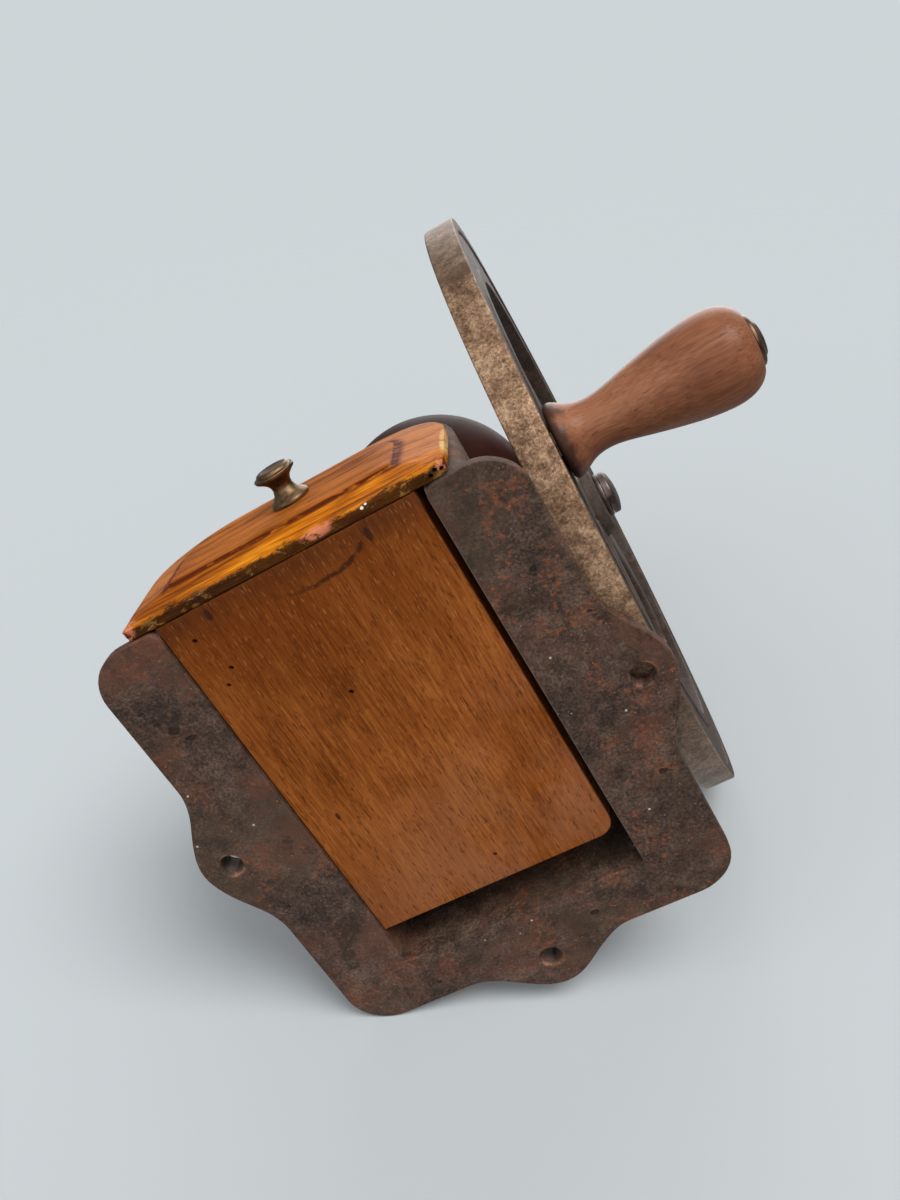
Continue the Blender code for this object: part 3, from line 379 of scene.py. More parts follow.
def makeWheelIron():
    look = wheelIron
    material, point = startMaterial("wheel iron")
    fromAxis = stretched(point, (0, 1, 1), shift=(0, 0, -(wheelLow.z + wheelHigh.z) / 2))
    reach = vectorMaths('LENGTH', fromAxis)["Value"]
    tread = between(reach, wheelRadius - 0.9 * mm, wheelRadius - 0.35 * mm)
    blotch = cloud(point, 60.0, 6.0, 0.7, 0.5)
    speck = cloud(point, 1100.0, 4.0, 0.7)
    middle = cloud(point, 230.0, 5.0, 0.7)
    mottled = blended((blotch, 0.34), (speck, 0.36), (middle, 0.30))
    bare = ramp(mottled, (0.42, look["stain"]), (0.50, look["bare"]), (0.59, look["bright"]))
    axes = axesOf(point)
    across = minus(axes["Y"], axes["Z"])
    ridge = maths('ABSOLUTE', plus(across, 0.1915, times(minus(blotch, 0.5), 0.02)))
    bare = layered(bare, look, pits=maskOf(dust, point, 620.0, 0.30, 0.35),
                   grey=between(across, -0.02, 0.09), shadow=between(across, -0.165, -0.205),
                   line=between(ridge, 0.0042, 0.0016))
    paint = ramp(mottled, (0.43, look["paint"]), (0.58, look["paintPale"]))
    paint = layered(paint, look, rust=maskOf(patches, point, 55.0, 0.42, 0.08),
                    worn=maskOf(edgeWear, point, 0.07, 0.5))
    rough = plus(times(minus(1.0, mottled), 0.3),
                 between(tread, 0, 1, look["faceRoughness"], look["treadRoughness"]))
    return finishMaterial(material, look, mixColour(tread, paint, bare), rough, plus(speck, middle), 0.3,
                          {"Metallic": between(tread, 0, 1, 0.0, look["metallic"])})


# Dark wine-brown enamel of the upper castings and the globe
winePaint = {
    "deep": (0.020, 0.0065, 0.0050), "warm": (0.046, 0.014, 0.0095), "chip": (0.075, 0.050, 0.038),
    "rust": (0.12, 0.048, 0.026), "grains": ((0.26, 0.22, 0.18), 1), "roughness": 0.40,
    "casting": {"bump": 0.45, "wear": 0.7, "specular": 0.10},
    "globe": {"bump": 0.12, "wear": 0.5, "specular": 0.03, "seam": globeCentre.z},
}


def makeWinePaint(name):
    look = winePaint
    own = look[name]
    material, point = startMaterial(name + " paint")
    tone = cloud(point, 22.0, 6.0, 0.6)
    fine = cloud(point, 420.0, 4.0, 0.6)
    colour = ramp(tone, (0.35, look["deep"]), (0.65, look["warm"]))
    chips = useGroup(patches, point, 80.0, 0.30, 0.03)
    edges = maskOf(edgeWear, point, 0.05, 0.8)
    if "seam" in own:  # the paint stays whole over a seam at this height
        offSeam = maths('ABSOLUTE', minus(axesOf(point)["Z"], own["seam"]))
        edges = times(edges, between(offSeam, 3 * mm, 5 * mm))
    bare = highest(chips["Mask"], times(edges, own["wear"]))
    colour = mixColour(bare, colour, mixColour(chips["Specks"], look["chip"], look["rust"]))
    colour = layered(colour, look, grains=maskOf(dust, point, 260.0, 0.14, 0.03))
    rough = plus(times(bare, 0.3), times(fine, 0.22), look["roughness"])
    height = minus(plus(fine, tone), times(bare, 0.5))
    return finishMaterial(material, own, colour, rough, height, 0.3)


# Small metal parts, smudged and tarnished: dark and bright colour, roughness, share of rust
metals = {
    "steel": ((0.20, 0.19, 0.18), (0.42, 0.41, 0.39), 0.21, 0.15),
    "dark steel": ((0.066, 0.048, 0.043), (0.175, 0.138, 0.122), 0.27, 0.12),
    "brass": ((0.17, 0.105, 0.042), (0.44, 0.30, 0.13), 0.19, 0),
    "bronze": ((0.055, 0.034, 0.019), (0.20, 0.125, 0.065), 0.28, 0),
    "cap bronze": ((0.055, 0.033, 0.021), (0.20, 0.120, 0.072), 0.23, 0),
}
metalFinish = {
    "worn": 1.5, "wear": 0.7, "rust": ((0.13, 0.055, 0.03), 1), "bump": 0.15, "specular": 0.5,
}


def makeMetal(name):
    dark, bright, roughness, rustShare = metals[name]
    material, point = startMaterial(name)
    shade = blended((cloud(point, 130.0, 5.0, 0.65, 0.3), 0.65), (cloud(point, 800.0), 0.35))
    rust = times(maskOf(patches, point, 110.0, 0.3 + rustShare, 0.1), min(1, 2 * rustShare))
    look = {**metalFinish, "worn": ([min(1, metalFinish["worn"] * channel) for channel in bright],
                                    metalFinish["wear"])}
    colour = layered(ramp(shade, (0.38, dark), (0.62, bright)), look,
                     worn=maskOf(edgeWear, point, 0.06, 0.4), rust=rust)
    rough = plus(times(shade, 0.3), times(rust, 0.35), roughness)
    return finishMaterial(material, look, colour, rough, shade, 0.2, {"Metallic": minus(1.0, rust)})


# Bare beech of the drawer's bottom, sides and back
drawerWood = {
    "dark": (0.130, 0.032, 0.004), "middle": (0.245, 0.068, 0.011), "pale": (0.345, 0.114, 0.024),
    # the darkest coat is painted shade along the board's underside
    "soaked": ((0.120, 0.025, 0.002), 0.62), "grime": ((0.032, 0.011, 0.005), 0.55),
    "faded": ((0.270, 0.105, 0.050), 0.75), "red": ((0.240, 0.050, 0.020), 0.35),
    "fleck": ((0.080, 0.020, 0.004), 0.62), "ray": ((0.50, 0.21, 0.065), 0.30),
    "haze": ((0.032, 0.011, 0.005), 0.28), "marks": ((0.032, 0.011, 0.005), 0.85),
    "roughness": 0.50, "specular": 0.06, "bump": 0.45,
    "arc": ((4.5, -79.0, 1.5), (23.5, 13.5, 30)), "arcWidth": 0.08,
    "knots": (((25.6, -71.8, 1.5), (1.5, 3.0, 3)), ((-28.9, -72.8, 1.5), (1.4, 2.6, 3)),
              ((-34.0, 8.0, 1.5), (0.8, 2.0, 3))),
}


def makeDrawerWood():
    look = drawerWood
    material, point = startMaterial("drawer wood")
    wood = useGroup(grain, point, 9.0, 0.5)
    tone = cloud(stretched(point, (1.0, 0.5, 1.0)), 30.0, 5.0, 0.62, 0.4)
    shade = blended((wood["Rings"], 0.06), (tone, 0.44), (wood["Fibres"], 0.50))
    colour = ramp(shade, (0.38, look["dark"]), (0.50, look["middle"]), (0.62, look["pale"]))
    axes = axesOf(point)
    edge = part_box("drawer_bottom")[0].y
    # painted shade: a band along the front edge of the bottom, under the board, darkened where the board
    # shades it
    grime = times(between(axes["Y"], edge + 12 * mm, edge + 1 * mm), between(tone, 0.35, 0.55, 0.5, 1.0))
    along = plus(times(axes["X"], 0.5), axes["Y"])
    faded = times(between(along, -0.03, 0.045), between(cloud(point, 19.0, 5.0, 0.6), 0.38, 0.6))
    rays = cloud(stretched(point, (1.0, 0.16, 1.0), shift=(1, 4, 2)), 1900.0, 2.0)
    haze = useGroup(patches, stretched(point, (1, 0.6, 1), shift=(0.2, 0.7, 0)), 46.0, 0.36, 0.10)
    wobble = times(minus(cloud(point, 90.0, 4.0, 0.6), 0.5), 0.36)
    offRing = maths('ABSOLUTE', plus(wobble, minus(away(point, *look["arc"]), 1.0)))
    ring = times(between(offRing, look["arcWidth"], 0.015),
                 between(cloud(point, 240.0, 4.0, 0.7), 0.40, 0.56),
                 between(axes["X"], baseMiddleX - 14 * mm, baseMiddleX + 8 * mm))
    # the wood is darker towards the front, by the board
    colour = layered(colour, look, soaked=between(axes["Y"], -0.015, -0.070), grime=grime, faded=faded,
                     red=maskOf(patches, point, 24.0, 0.42, 0.16), fleck=wood["Flecks"],
                     ray=between(rays, 0.60, 0.72), haze=haze["Mask"],
                     marks=highest(ring, blobs(point, look["knots"])))
    rough = plus(times(wood["Fibres"], 0.25), look["roughness"])
    return finishMaterial(material, look, colour, rough, wood["Height"], 0.25)


# Drawer's fielded front board: shape, then look
board = {
    "halfWidth": 55.5, "low": 1.5, "high": 66.0, "topCorner": 29, "lowCorner": 2.2, "back": -76.6,
    "margin": 3.2, "bevelDepth": 2.5, "step": 0.8, "stepWidth": 1.1, "sideMargin": 15.5,
    "lowMargin": 14.5, "topMargin": 16, "fieldCorner": 14, "middle": -1.1,
    "chip": 1.1, "tipLoss": 2.2, "torn": ((51.5, -79.0), (53.3, -78.2), (49.8, -78.0)), "tornRadius": 0.7,
}


# Varnished board: honey on the low bevel, whose brightest streaks are partly grain and partly a painted
# golden sheen, browner on the field, paler on the other bevels, raw and crusted along its lower edge
boardWood = {
    "dark": (0.150, 0.036, 0.0015), "honey": (0.46, 0.120, 0.0022), "streakAndSheen": (0.80, 0.31, 0.010),
    "field": (0.42, 0.128, 0.020), "fieldDark": (0.17, 0.042, 0.004), "pale": (0.50, 0.175, 0.050),
    "paleDark": (0.26, 0.080, 0.018), "red": (0.14, 0.026, 0.003), "edge": (0.030, 0.012, 0.005),
    "crust": (0.24, 0.125, 0.035), "resin": ((0.095, 0.016, 0.003), 1), "raw": ((0.62, 0.205, 0.105), 0.9),
    "fibre": ((0.72, 0.50, 0.21), 0.85), "chalk": ((0.85, 0.82, 0.76), 1), "roughness": 0.40,
    "specular": 0.03, "bump": 0.5,
    "rawSpots": (((13.0, -79.2, 2.4), (7.0, 2.2, 3.4)), ((-54.5, -80.0, 4.0), (4.5, 4.5, 7.0)),
                 ((53.5, -79.0, 3.0), (2.2, 2.2, 3.0))),
    "fibreSpots": (((54.2, -79.0, 25.0), (1.7, 2.6, 15.0)),),
    "chalkSpots": (((28.0, -79.3, 1.7), (0.7, 0.6, 0.8)), ((29.4, -79.7, 2.2), (0.6, 0.6, 0.6))),
}


def makeBoardWood():
    look = boardWood
    material, point = startMaterial("board wood")
    low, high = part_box("drawer_front")
    front = low.y
    axes = axesOf(point)
    wood = useGroup(grain, stretched(point, turn=(0, 0, quarterTurn)), 12.0, 0.5)
    streak = cloud(stretched(point, (0.14, 1.0, 1.0)), 230.0, 5.0, 0.62, 0.6)
    shade = blended((wood["Rings"], 0.06), (streak, 0.62), (wood["Fibres"], 0.32))
    # painted sheen: the brightest stop is partly the varnish's pale streaks and partly a painted golden
    # reflection
    honey = ramp(shade, (0.39, look["dark"]), (0.50, look["honey"]), (0.62, look["streakAndSheen"]))
    field = ramp(shade, (0.40, look["fieldDark"]), (0.56, look["field"]))
    pale = ramp(shade, (0.40, look["paleDark"]), (0.55, look["pale"]))
    reddish = between(axes["X"], baseMiddleX + 5 * mm, baseMiddleX - 52 * mm, 0.0, 0.75)
    honey = mixColour(reddish, honey, mixColour(0.65, honey, look["red"]))
    fieldLow = low.z + board["lowMargin"] * mm
    colour = mixColour(between(axes["Z"], fieldLow - 0.4 * mm, fieldLow + 0.6 * mm), honey, pale)
    colour = mixColour(between(axes["Y"], front + 1.2 * mm, front + 0.35 * mm), colour, field)
    beads = cloud(stretched(point, (0.4, 1.0, 1.0)), 260.0, 4.0, 0.7)
    resin = times(between(axes["Y"], front + 1.4 * mm, front + 1.0 * mm),
                  between(axes["Y"], front + 0.1 * mm, front + 0.5 * mm), between(beads, 0.34, 0.50))
    colour = layered(colour, look, resin=resin)
    ragged = times(minus(cloud(point, 190.0, 6.0, 0.75), 0.5), 4 * mm)
    edge = times(between(plus(axes["Y"], ragged), high.y - 3.7 * mm, high.y - 3.0 * mm),
                 between(axes["Z"], low.z + 10 * mm, low.z + 5 * mm))
    crust = maskOf(patches, stretched(point, (0.6, 1, 1)), 330.0, 0.44, 0.06)
    colour = mixColour(times(edge, 0.92), colour, mixColour(times(crust, 0.8), look["edge"], look["crust"]))
    torn = between(cloud(point, 420.0, 5.0, 0.75), 0.40, 0.52)
    colour = layered(colour, look, raw=times(blobs(point, look["rawSpots"]), torn),
                     fibre=times(blobs(point, look["fibreSpots"]), torn),
                     chalk=blobs(point, look["chalkSpots"]))
    rough = plus(times(streak, 0.2), times(edge, 0.3), look["roughness"])
    height = plus(wood["Height"], times(streak, 2.0), times(edge, crust, 2.0))
    return finishMaterial(material, look, colour, rough, height, 0.4)


# Turned beech of the crank's grip, stained reddish brown and polished by hands
gripWood = {
    "dark": (0.155, 0.054, 0.025), "middle": (0.228, 0.086, 0.041), "pale": (0.310, 0.128, 0.066),
    "fleck": ((0.070, 0.024, 0.012), 0.6), "grime": ((0.030, 0.013, 0.009), 0.9), "roughness": 0.34,
    "specular": 0.08, "coat": 0.15, "coatRoughness": 0.28, "bump": 0.12,
}


def makeGripWood():
    look = gripWood
    material, point = startMaterial("grip wood")
    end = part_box("handle_grip")[0].x
    wood = useGroup(grain, stretched(point, turn=(0, 0, quarterTurn)), 12.0, 0.25)
    tone = cloud(stretched(point, (0.4, 1.0, 1.0)), 60.0, 4.0, 0.5)
    shade = blended((wood["Rings"], 0.05), (tone, 0.50), (wood["Fibres"], 0.32))
    colour = ramp(shade, (0.34, look["dark"]), (0.43, look["middle"]), (0.53, look["pale"]))
    dash = cloud(stretched(point, (0.13, 1.0, 1.0), shift=(2, 5, 1)), 900.0, 2.0)
    offWheel = plus(axesOf(point)["X"], times(minus(cloud(point, 150.0, 4.0, 0.6), 0.5), 9 * mm))
    colour = layered(colour, look, fleck=between(dash, 0.64, 0.72),
                     grime=between(offWheel, end + 6.0 * mm, end + 2.0 * mm))
    rough = plus(times(wood["Fibres"], 0.2), look["roughness"])
    return finishMaterial(material, look, colour, rough, wood["Height"], 0.2, {
        "Coat Weight": look["coat"], "Coat Roughness": look["coatRoughness"]})


ironLook = makeCastIron()
wheelLook = makeWheelIron()
castingPaint = makeWinePaint("casting")
sheetPaint = makeWinePaint("globe")
steelLook, darkSteelLook, brassLook, bronzeLook, capLook = [makeMetal(name) for name in metals]
drawerLook = makeDrawerWood()
boardLook = makeBoardWood()
gripLook = makeGripWood()
print("materials ready")


# Mesh helpers; profiles and outlines are in millimetres
def addPiece(name, mesh, material, body, stands=(), slot=None, sharp=38):
    piece = addObject(name, mesh)
    mesh.materials.clear()
    mesh.materials.append(material)
    mesh.shade_smooth()
    mesh.set_sharp_from_angle(angle=math.radians(sharp))
    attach(piece, body)
    if stands:
        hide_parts(*stands)


def toMesh(name, shape):
    bmesh.ops.recalc_face_normals(shape, faces=shape.faces)
    mesh = bpy.data.meshes.new(name)
    shape.to_mesh(mesh)
    shape.free()
    return mesh


def joinRings(shape, rings, around=True):
    for first, second in zip(rings, rings[1:]):
        for index in range(len(first) if around else len(first) - 1):
            after = (index + 1) % len(first)
            corners = dict.fromkeys((first[index], second[index], second[after], first[after]))
            if len(corners) > 2:
                shape.faces.new(corners)


def filleted(points, radius, steps=3, closed=False):
    # replaces each corner of an outline by a short arc
    made = []
    for index, corner in enumerate(points):
        corner = Vector(corner)
        before = Vector(points[index - 1]) - corner
        after = Vector(points[(index + 1) % len(points)]) - corner
        isEnd = not closed and index in (0, len(points) - 1)
        if isEnd or before.angle(after) > math.radians(160):
            made.append(tuple(corner))
            continue
        reach = min(radius, before.length * 0.45, after.length * 0.45)
        start = corner + before.normalized() * reach
        end = corner + after.normalized() * reach
        for step in range(steps + 1):
            share = step / steps
            made.append(tuple(start * (1 - share) ** 2 + corner * 2 * share * (1 - share)
                              + end * share ** 2))
    return made


def turnedShape(profile, centre, axis, steps=96, closed=False):
    # (radius, height) points, turned about an axis through centre
    shape = bmesh.new()
    turn = Vector(axis).normalized().to_track_quat('Z', 'Y').to_matrix()
    rings = []
    for radius, height in profile:
        angles = [math.tau * step / steps for step in range(steps if radius > 1e-4 else 1)]
        reach = radius * mm
        ring = [shape.verts.new(centre + turn @ Vector((
            reach * math.cos(angle), reach * math.sin(angle), height * mm))) for angle in angles]
        rings.append(ring if len(ring) > 1 else ring * steps)
    joinRings(shape, rings + rings[:1] if closed else rings)
    return shape


def turned(name, profile, centre, axis, steps=96, closed=False):
    return toMesh(name, turnedShape(profile, centre, axis, steps, closed))


def addTurned(name, profile, centre, axis, steps, closed, *looks, **settings):
    addPiece(name, turned(name, profile, centre, axis, steps, closed), *looks, **settings)


def rodMesh(name, radius, start, end, steps=48):
    way = Vector(end) - Vector(start)
    length = way.length / mm
    return turned(name, [(0, length), (radius, length), (radius, 0), (0, 0)], start, way, steps)


def arcPoints(x, y, radius, first, last, steps):
    return [(x + radius * math.cos(first + (last - first) * step / steps),
             y + radius * math.sin(first + (last - first) * step / steps))
            for step in range(steps + 1)]


def mirrored(points):
    return [(-x, y) for x, y in reversed(points)]


def finished(helper):
    bpy.context.view_layer.update()
    return bpy.data.meshes.new_from_object(helper.evaluated_get(bpy.context.evaluated_depsgraph_get()))


def plateMesh(name, outlines, thickness, bevel, placing, steps=2):
    # a flat plate with rounded edges, centred on its own Z
    curve = bpy.data.curves.new(name, 'CURVE')
    curve.dimensions = '2D'
    curve.fill_mode = 'BOTH'
    curve.extrude = (thickness / 2 - bevel) * mm
    curve.bevel_depth = bevel * mm
    curve.bevel_resolution = steps
    curve.offset = -bevel * mm
    for outline in outlines:
        spline = curve.splines.new('POLY')
        spline.points.add(len(outline) - 1)
        for point, (x, y) in zip(spline.points, outline):
            point.co = (x * mm, y * mm, 0, 1)
        spline.use_cyclic_u = True
    sketch = addObject(name + "Sketch", curve)
    mesh = finished(sketch)
    bpy.data.objects.remove(sketch)
    mesh.transform(placing)
    shape = bmesh.new()
    shape.from_mesh(mesh)
    bmesh.ops.remove_doubles(shape, verts=shape.verts, dist=1e-6)
    return toMesh(name, shape)


def boxMesh(name, low, high, lowTop=None, highTop=None):
    shape = bmesh.new()
    bmesh.ops.create_cube(shape, size=1)
    for vertex in shape.verts:
        share = vertex.co + Vector((0.5, 0.5, 0.5))
        near = lowTop if share.z > 0.5 and lowTop else low
        far = highTop if share.z > 0.5 and highTop else high
        vertex.co = Vector((near[0] + share.x * (far[0] - near[0]),
                            near[1] + share.y * (far[1] - near[1]),
                            low[2] + share.z * (high[2] - low[2])))
    return toMesh(name, shape)


def worked(name, mesh, steps):
    # runs modifiers on a mesh and returns the finished mesh; steps are (kind, settings)
    helper = addObject(name + "Work", mesh)
    spare = [helper]
    for index, (kind, settings) in enumerate(steps):
        modifier = helper.modifiers.new("step %d" % index, kind)
        for key, value in settings.items():
            if key == "object":
                value = addObject(name + "Tool", value)
                spare.append(value)
            setattr(modifier, key, value)
    made = finished(helper)
    for thing in spare:
        bpy.data.objects.remove(thing)
    made.name = name
    return made


def cutBy(mesh):
    return 'BOOLEAN', {"operation": 'DIFFERENCE', "object": mesh}


def joinWith(mesh):
    return 'BOOLEAN', {"operation": 'UNION', "object": mesh}


def roundEdges(width, segments=2, angle=35):
    return 'BEVEL', {"width": width * mm, "segments": segments, "limit_method": 'ANGLE',
                     "angle_limit": math.radians(angle), "harden_normals": False}


# Lower casting: flat foot with three ears, and the drawer's house
foot = {
    "halfWidth": 73.3, "front": -76.3, "back": 93.2, "thickness": 4.5, "frontCorner": 14,
    "backCorner": 15.5, "earReach": 12.4, "earHalf": 33, "earY": 7.1, "backEarReach": 14.6,
    "backEarHalf": 31, "holeRadius": 3.9, "bossRadius": 8.2, "bossHeights": (9.5, 6.0, 9.5),
    "mouthHalf": 45.75, "mouthBack": 72.2, "mouthCorner": 3.5, "edge": 0.4, "unevenness": 0.22,
}
house = {
    "footHalf": 60.5, "topHalf": 52.6, "front": -76.0, "footBack": 80, "topBack": 75, "low": 1,
    "top": 68, "round": 5, "cavityHeight": 61, "cavityCorner": 8, "outletX": 33, "outletY": 27,
}


def footOutline():
    look = foot
    side, front, back = look["halfWidth"], look["front"], look["back"]
    corner, backCorner = look["frontCorner"], look["backCorner"]
    half = arcPoints(side - corner, front + corner, corner, -quarterTurn, 0, 10)
    for step in range(33):
        turn = math.pi * (step / 16 - 1)
        half.append((side + look["earReach"] * (1 + math.cos(turn)) / 2,
                     look["earY"] + look["earHalf"] * turn / math.pi))
    half += arcPoints(side - backCorner, back - backCorner, backCorner, 0, quarterTurn, 10)
    for step in range(17):
        turn = math.pi * (1 - step / 16)
        half.append((look["backEarHalf"] * turn / math.pi,
                     back + look["backEarReach"] * (1 + math.cos(turn)) / 2))
    inner, corner = look["mouthHalf"], look["mouthCorner"]
    mouth = arcPoints(inner + corner, front + corner, corner, -quarterTurn, -math.pi, 5)
    mouth += [(inner, y) for y in range(-60, 61, 20)]
    mouth += arcPoints(inner - 1, look["mouthBack"] - 1, 1, 0, quarterTurn, 3)
    mouth.reverse()
    shaken = []
    for x, y in half + mirrored(half[:-1]) + mirrored(mouth) + mouth:
        rough = noise.noise_vector(Vector((x, y, 3)) * 0.09) * look["unevenness"]
        shaken.append((x + rough.x, y + rough.y))
    return shaken


def makeBase():
    look = foot
    plate = plateMesh("footPlate", [footOutline()], look["thickness"], look["edge"],
                      Matrix.Translation(place(0, 0, look["thickness"] / 2)))
    steps = []
    hole, boss = look["holeRadius"], look["bossRadius"]
    for (x, y), height in zip(holeSpots, look["bossHeights"]):
        raised = [(0, height), (boss - 0.4, height), (boss, height - 0.6), (boss + 0.3, 2.5), (0, 2.5)]
        bored = [(0, height + 1), (hole + 1.2, height + 1), (hole, height - 0.6), (hole, 0.8),
                 (hole + 0.9, -0.5), (0, -0.5)]
        steps.append(joinWith(turned("boss", filleted(raised, 0.8), place(x, y, 0), alongZ, 64)))
        steps.append(cutBy(turned("hole", bored, place(x, y, 0), alongZ, 64)))
    plate = worked("footPlate", plate, steps)
    addPiece("footPlate", plate, ironLook, "frame", slot="cast_iron", sharp=24)
    for face in plate.polygons:  # the flat underside and top shade flat
        face.use_smooth = abs(face.normal.z) < 0.9999

    walls = house
    shell = boxMesh("drawerHouse", place(-walls["footHalf"], walls["front"], walls["low"]),
                    place(walls["footHalf"], walls["footBack"], walls["top"]),
                    place(-walls["topHalf"], walls["front"], 0), place(walls["topHalf"], walls["topBack"], 0))
    corner = walls["cavityCorner"]
    arch = arcPoints(look["mouthHalf"] - corner, walls["cavityHeight"] - corner, corner, 0, quarterTurn, 8)
    opening = [(look["mouthHalf"], -9)] + arch
    length = look["mouthBack"] + 90
    turn = Matrix.Translation(place(0, look["mouthBack"] - length / 2, 0)) @ Matrix.Rotation(
        quarterTurn, 4, 'X')
    cavity = plateMesh("cavity", [opening + mirrored(opening)], length, 0, turn)
    outlet = boxMesh("outlet", place(-walls["outletX"], -walls["outletY"], walls["cavityHeight"] - 3),
                     place(walls["outletX"], walls["outletY"], walls["top"] + 3))
    shell = worked("drawerHouse", shell, [roundEdges(walls["round"], 5), cutBy(cavity), cutBy(outlet)])
    addPiece("drawerHouse", shell, ironLook, "frame", stands=["base_frame"], slot="cast_iron", sharp=40)


makeBase()
print("base made")


# Flywheel: heavy rim, five swept spokes with rounded edges, hub with its raised collar
wheel = {
    "rimDepth": 27.5, "rimEdge": 0.7, "rimWidth": 11.7, "face": 82.4, "rimSteps": 180, "lip": 5.5,
    "dip": 0.8, "hubRadius": 15, "bore": 6.3, "spokes": 5, "hubHalf": 8.5, "rimHalf": 6.5,
    "spokeThickness": 6, "spokeEdge": 1.4, "sweep": 14, "phase": -121.6,
}


def makeWheel():
    look = wheel
    outer = wheelRadius / mm
    inner = outer - look["rimDepth"]
    face = baseMiddleX / mm + look["face"]
    back = face - look["rimWidth"]
    lip, dip = look["lip"], look["dip"]
    profile = filleted([(outer, back), (outer, face), (outer - lip, face), (outer - lip - dip, face - dip),
                        (inner + lip + dip, face - dip), (inner + lip, face), (inner, face),
                        (inner, back)], look["rimEdge"], 4, True)
    rim = turned("wheelRim", profile, shaftLine, alongX, look["rimSteps"], True)
    hub, reach = look["hubRadius"], inner + 1.5
    points = []
    for index in range(look["spokes"]):
        middle = math.radians(look["phase"]) + math.tau * index / look["spokes"]
        right, left = [], []
        for step in range(25):
            share = step / 24
            radius = hub + share * (reach - hub)
            half = look["hubHalf"] + share * (look["rimHalf"] - look["hubHalf"])
            half += 5 * max(0, (share - 0.86) / 0.14) ** 2 + 2.5 * max(0, (0.14 - share) / 0.14) ** 2
            bend = middle + math.radians(look["sweep"]) * math.sin(math.pi * share)
            spread = math.asin(min(0.62, half / radius))
            right.append((radius * math.cos(bend - spread), radius * math.sin(bend - spread)))
            left.append((radius * math.cos(bend + spread), radius * math.sin(bend + spread)))
        points += right + left[::-1]
    turn = Matrix.Translation(shaftLine + Vector(((back + face) / 2 * mm, 0, 0))) @ Matrix(
        ((0, 0, 1, 0), (1, 0, 0, 0), (0, 1, 0, 0), (0, 0, 0, 1)))
    star = plateMesh("wheelSpokes", [points], look["spokeThickness"], look["spokeEdge"], turn, 3)
    low, high = wheelLow.x / mm, wheelHigh.x / mm
    profile = filleted([(look["bore"], low), (hub, low), (hub, back), (hub + 1.5, back + 2),
                        (hub + 1.5, face - 2), (hub, face), (hub - 1, high), (look["bore"], high)],
                       1.2, 3, True)
    collar = turned("wheelHub", profile, shaftLine, alongX, 72, True)
    addPiece("wheelRim", rim, wheelLook, "wheel", stands=["flywheel"], slot="wheel_iron", sharp=60)
    addPiece("wheelSpokes", star, wheelLook, "wheel", slot="wheel_iron", sharp=50)
    addPiece("wheelHub", collar, wheelLook, "wheel", slot="wheel_iron")


makeWheel()

# Washer and domed nut on the shaft's end
hubNut = {
    "bore": 4.9, "washerRadius": 9.4,
    "dome": ((9.1, 0), (9.1, 2.2), (8.5, 2.9), (6.6, 3.6), (3.8, 4.2), (1.2, 4.4), (0, 4.4)),
}


def makeHubNut():
    bore, radius = hubNut["bore"], hubNut["washerRadius"]
    low, high = [corner.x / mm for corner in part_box("hub_washer")]
    washer = filleted([(bore, low), (radius, low), (radius, high), (bore, high)], 0.3, 2, True)
    addTurned("hubWasherPlate", washer, shaftLine, alongX, 64, True, darkSteelLook, "wheel",
              stands=["hub_washer"], slot="burr_steel")
    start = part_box("hub_nut")[0].x / mm
    profile = [(bore, start)] + filleted([(r, start + h) for r, h in hubNut["dome"]], 0.35)
    addTurned("hubNutDome", profile, shaftLine, alongX, 72, False, darkSteelLook, "wheel",
              stands=["hub_nut"], slot="burr_steel", sharp=30)


makeHubNut()


# Crank grip: collar bead, waist and pear-shaped swell, with a stepped metal cap
grip = {
    "outline": ((10.9, 0.0), (12.2, 0.6), (12.8, 1.8), (12.5, 3.4), (11.4, 5.2), (10.0, 7.2),
                (8.95, 9.8), (8.5, 12.8), (8.6, 16.5), (9.5, 21), (10.8, 26), (12.0, 31), (13.2, 36.5),
                (14.3, 42), (15.0, 47), (15.35, 51.5), (15.2, 55.5), (14.4, 58.8), (13.0, 61.4),
                (11.3, 63.1), (9.9, 63.9)),
    "cap": ((8.2, 0), (8.2, 0.7), (7.4, 1.3), (6.3, 1.5), (5.4, 2.4), (3.2, 2.9), (0, 3.0)),
    "bore": 4.6, "endRadius": 9.0,
}


def makeGrip():
    look = grip
    low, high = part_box("handle_grip")
    spindle = middleOf("handle_spindle")
    length = (high.x - low.x) / mm
    profile = [(look["bore"], 0), *look["outline"], (look["endRadius"], length), (look["bore"], length)]
    mesh = turned("gripTurned", profile, Vector((low.x, spindle.y, spindle.z)), alongX, 96, True)
    mesh = worked("gripTurned", mesh, [("SUBSURF", {"levels": 1})])
    addPiece("gripTurned", mesh, gripLook, "grip", stands=["handle_grip"], slot="grip_wood", sharp=60)
    capStart = Vector((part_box("grip_cap")[0].x, spindle.y, spindle.z))
    addTurned("gripCapDisc", [(0, 0)] + filleted(look["cap"], 0.3), capStart, alongX, 72, False, capLook,
              "wheel", stands=["grip_cap"], slot="brass")


makeGrip()
print("wheel and crank made")


def boardOutline(half, low, high, lowCorner, topCorner, per=26):
    # even counts on every side and corner, so that rings join one to one
    sides = ((1, 1, topCorner), (-1, 1, topCorner), (-1, -1, lowCorner), (1, -1, lowCorner))
    arcs = [arcPoints(side * (half - radius), high - radius if up > 0 else low + radius, radius,
                      index * quarterTurn, (index + 1) * quarterTurn, 10)
            for index, (side, up, radius) in enumerate(sides)]
    points = []
    for index, arc in enumerate(arcs):
        points += arc
        start, end = arc[-1], arcs[(index + 1) % 4][0]
        count = per * (3 if index == 2 else 1)
        points += [(start[0] + (end[0] - start[0]) * step / count,
                    start[1] + (end[1] - start[1]) * step / count) for step in range(1, count)]
    return points


def mixedRing(first, second, share):
    return [(a[0] + (b[0] - a[0]) * share, a[1] + (b[1] - a[1]) * share) for a, b in zip(first, second)]


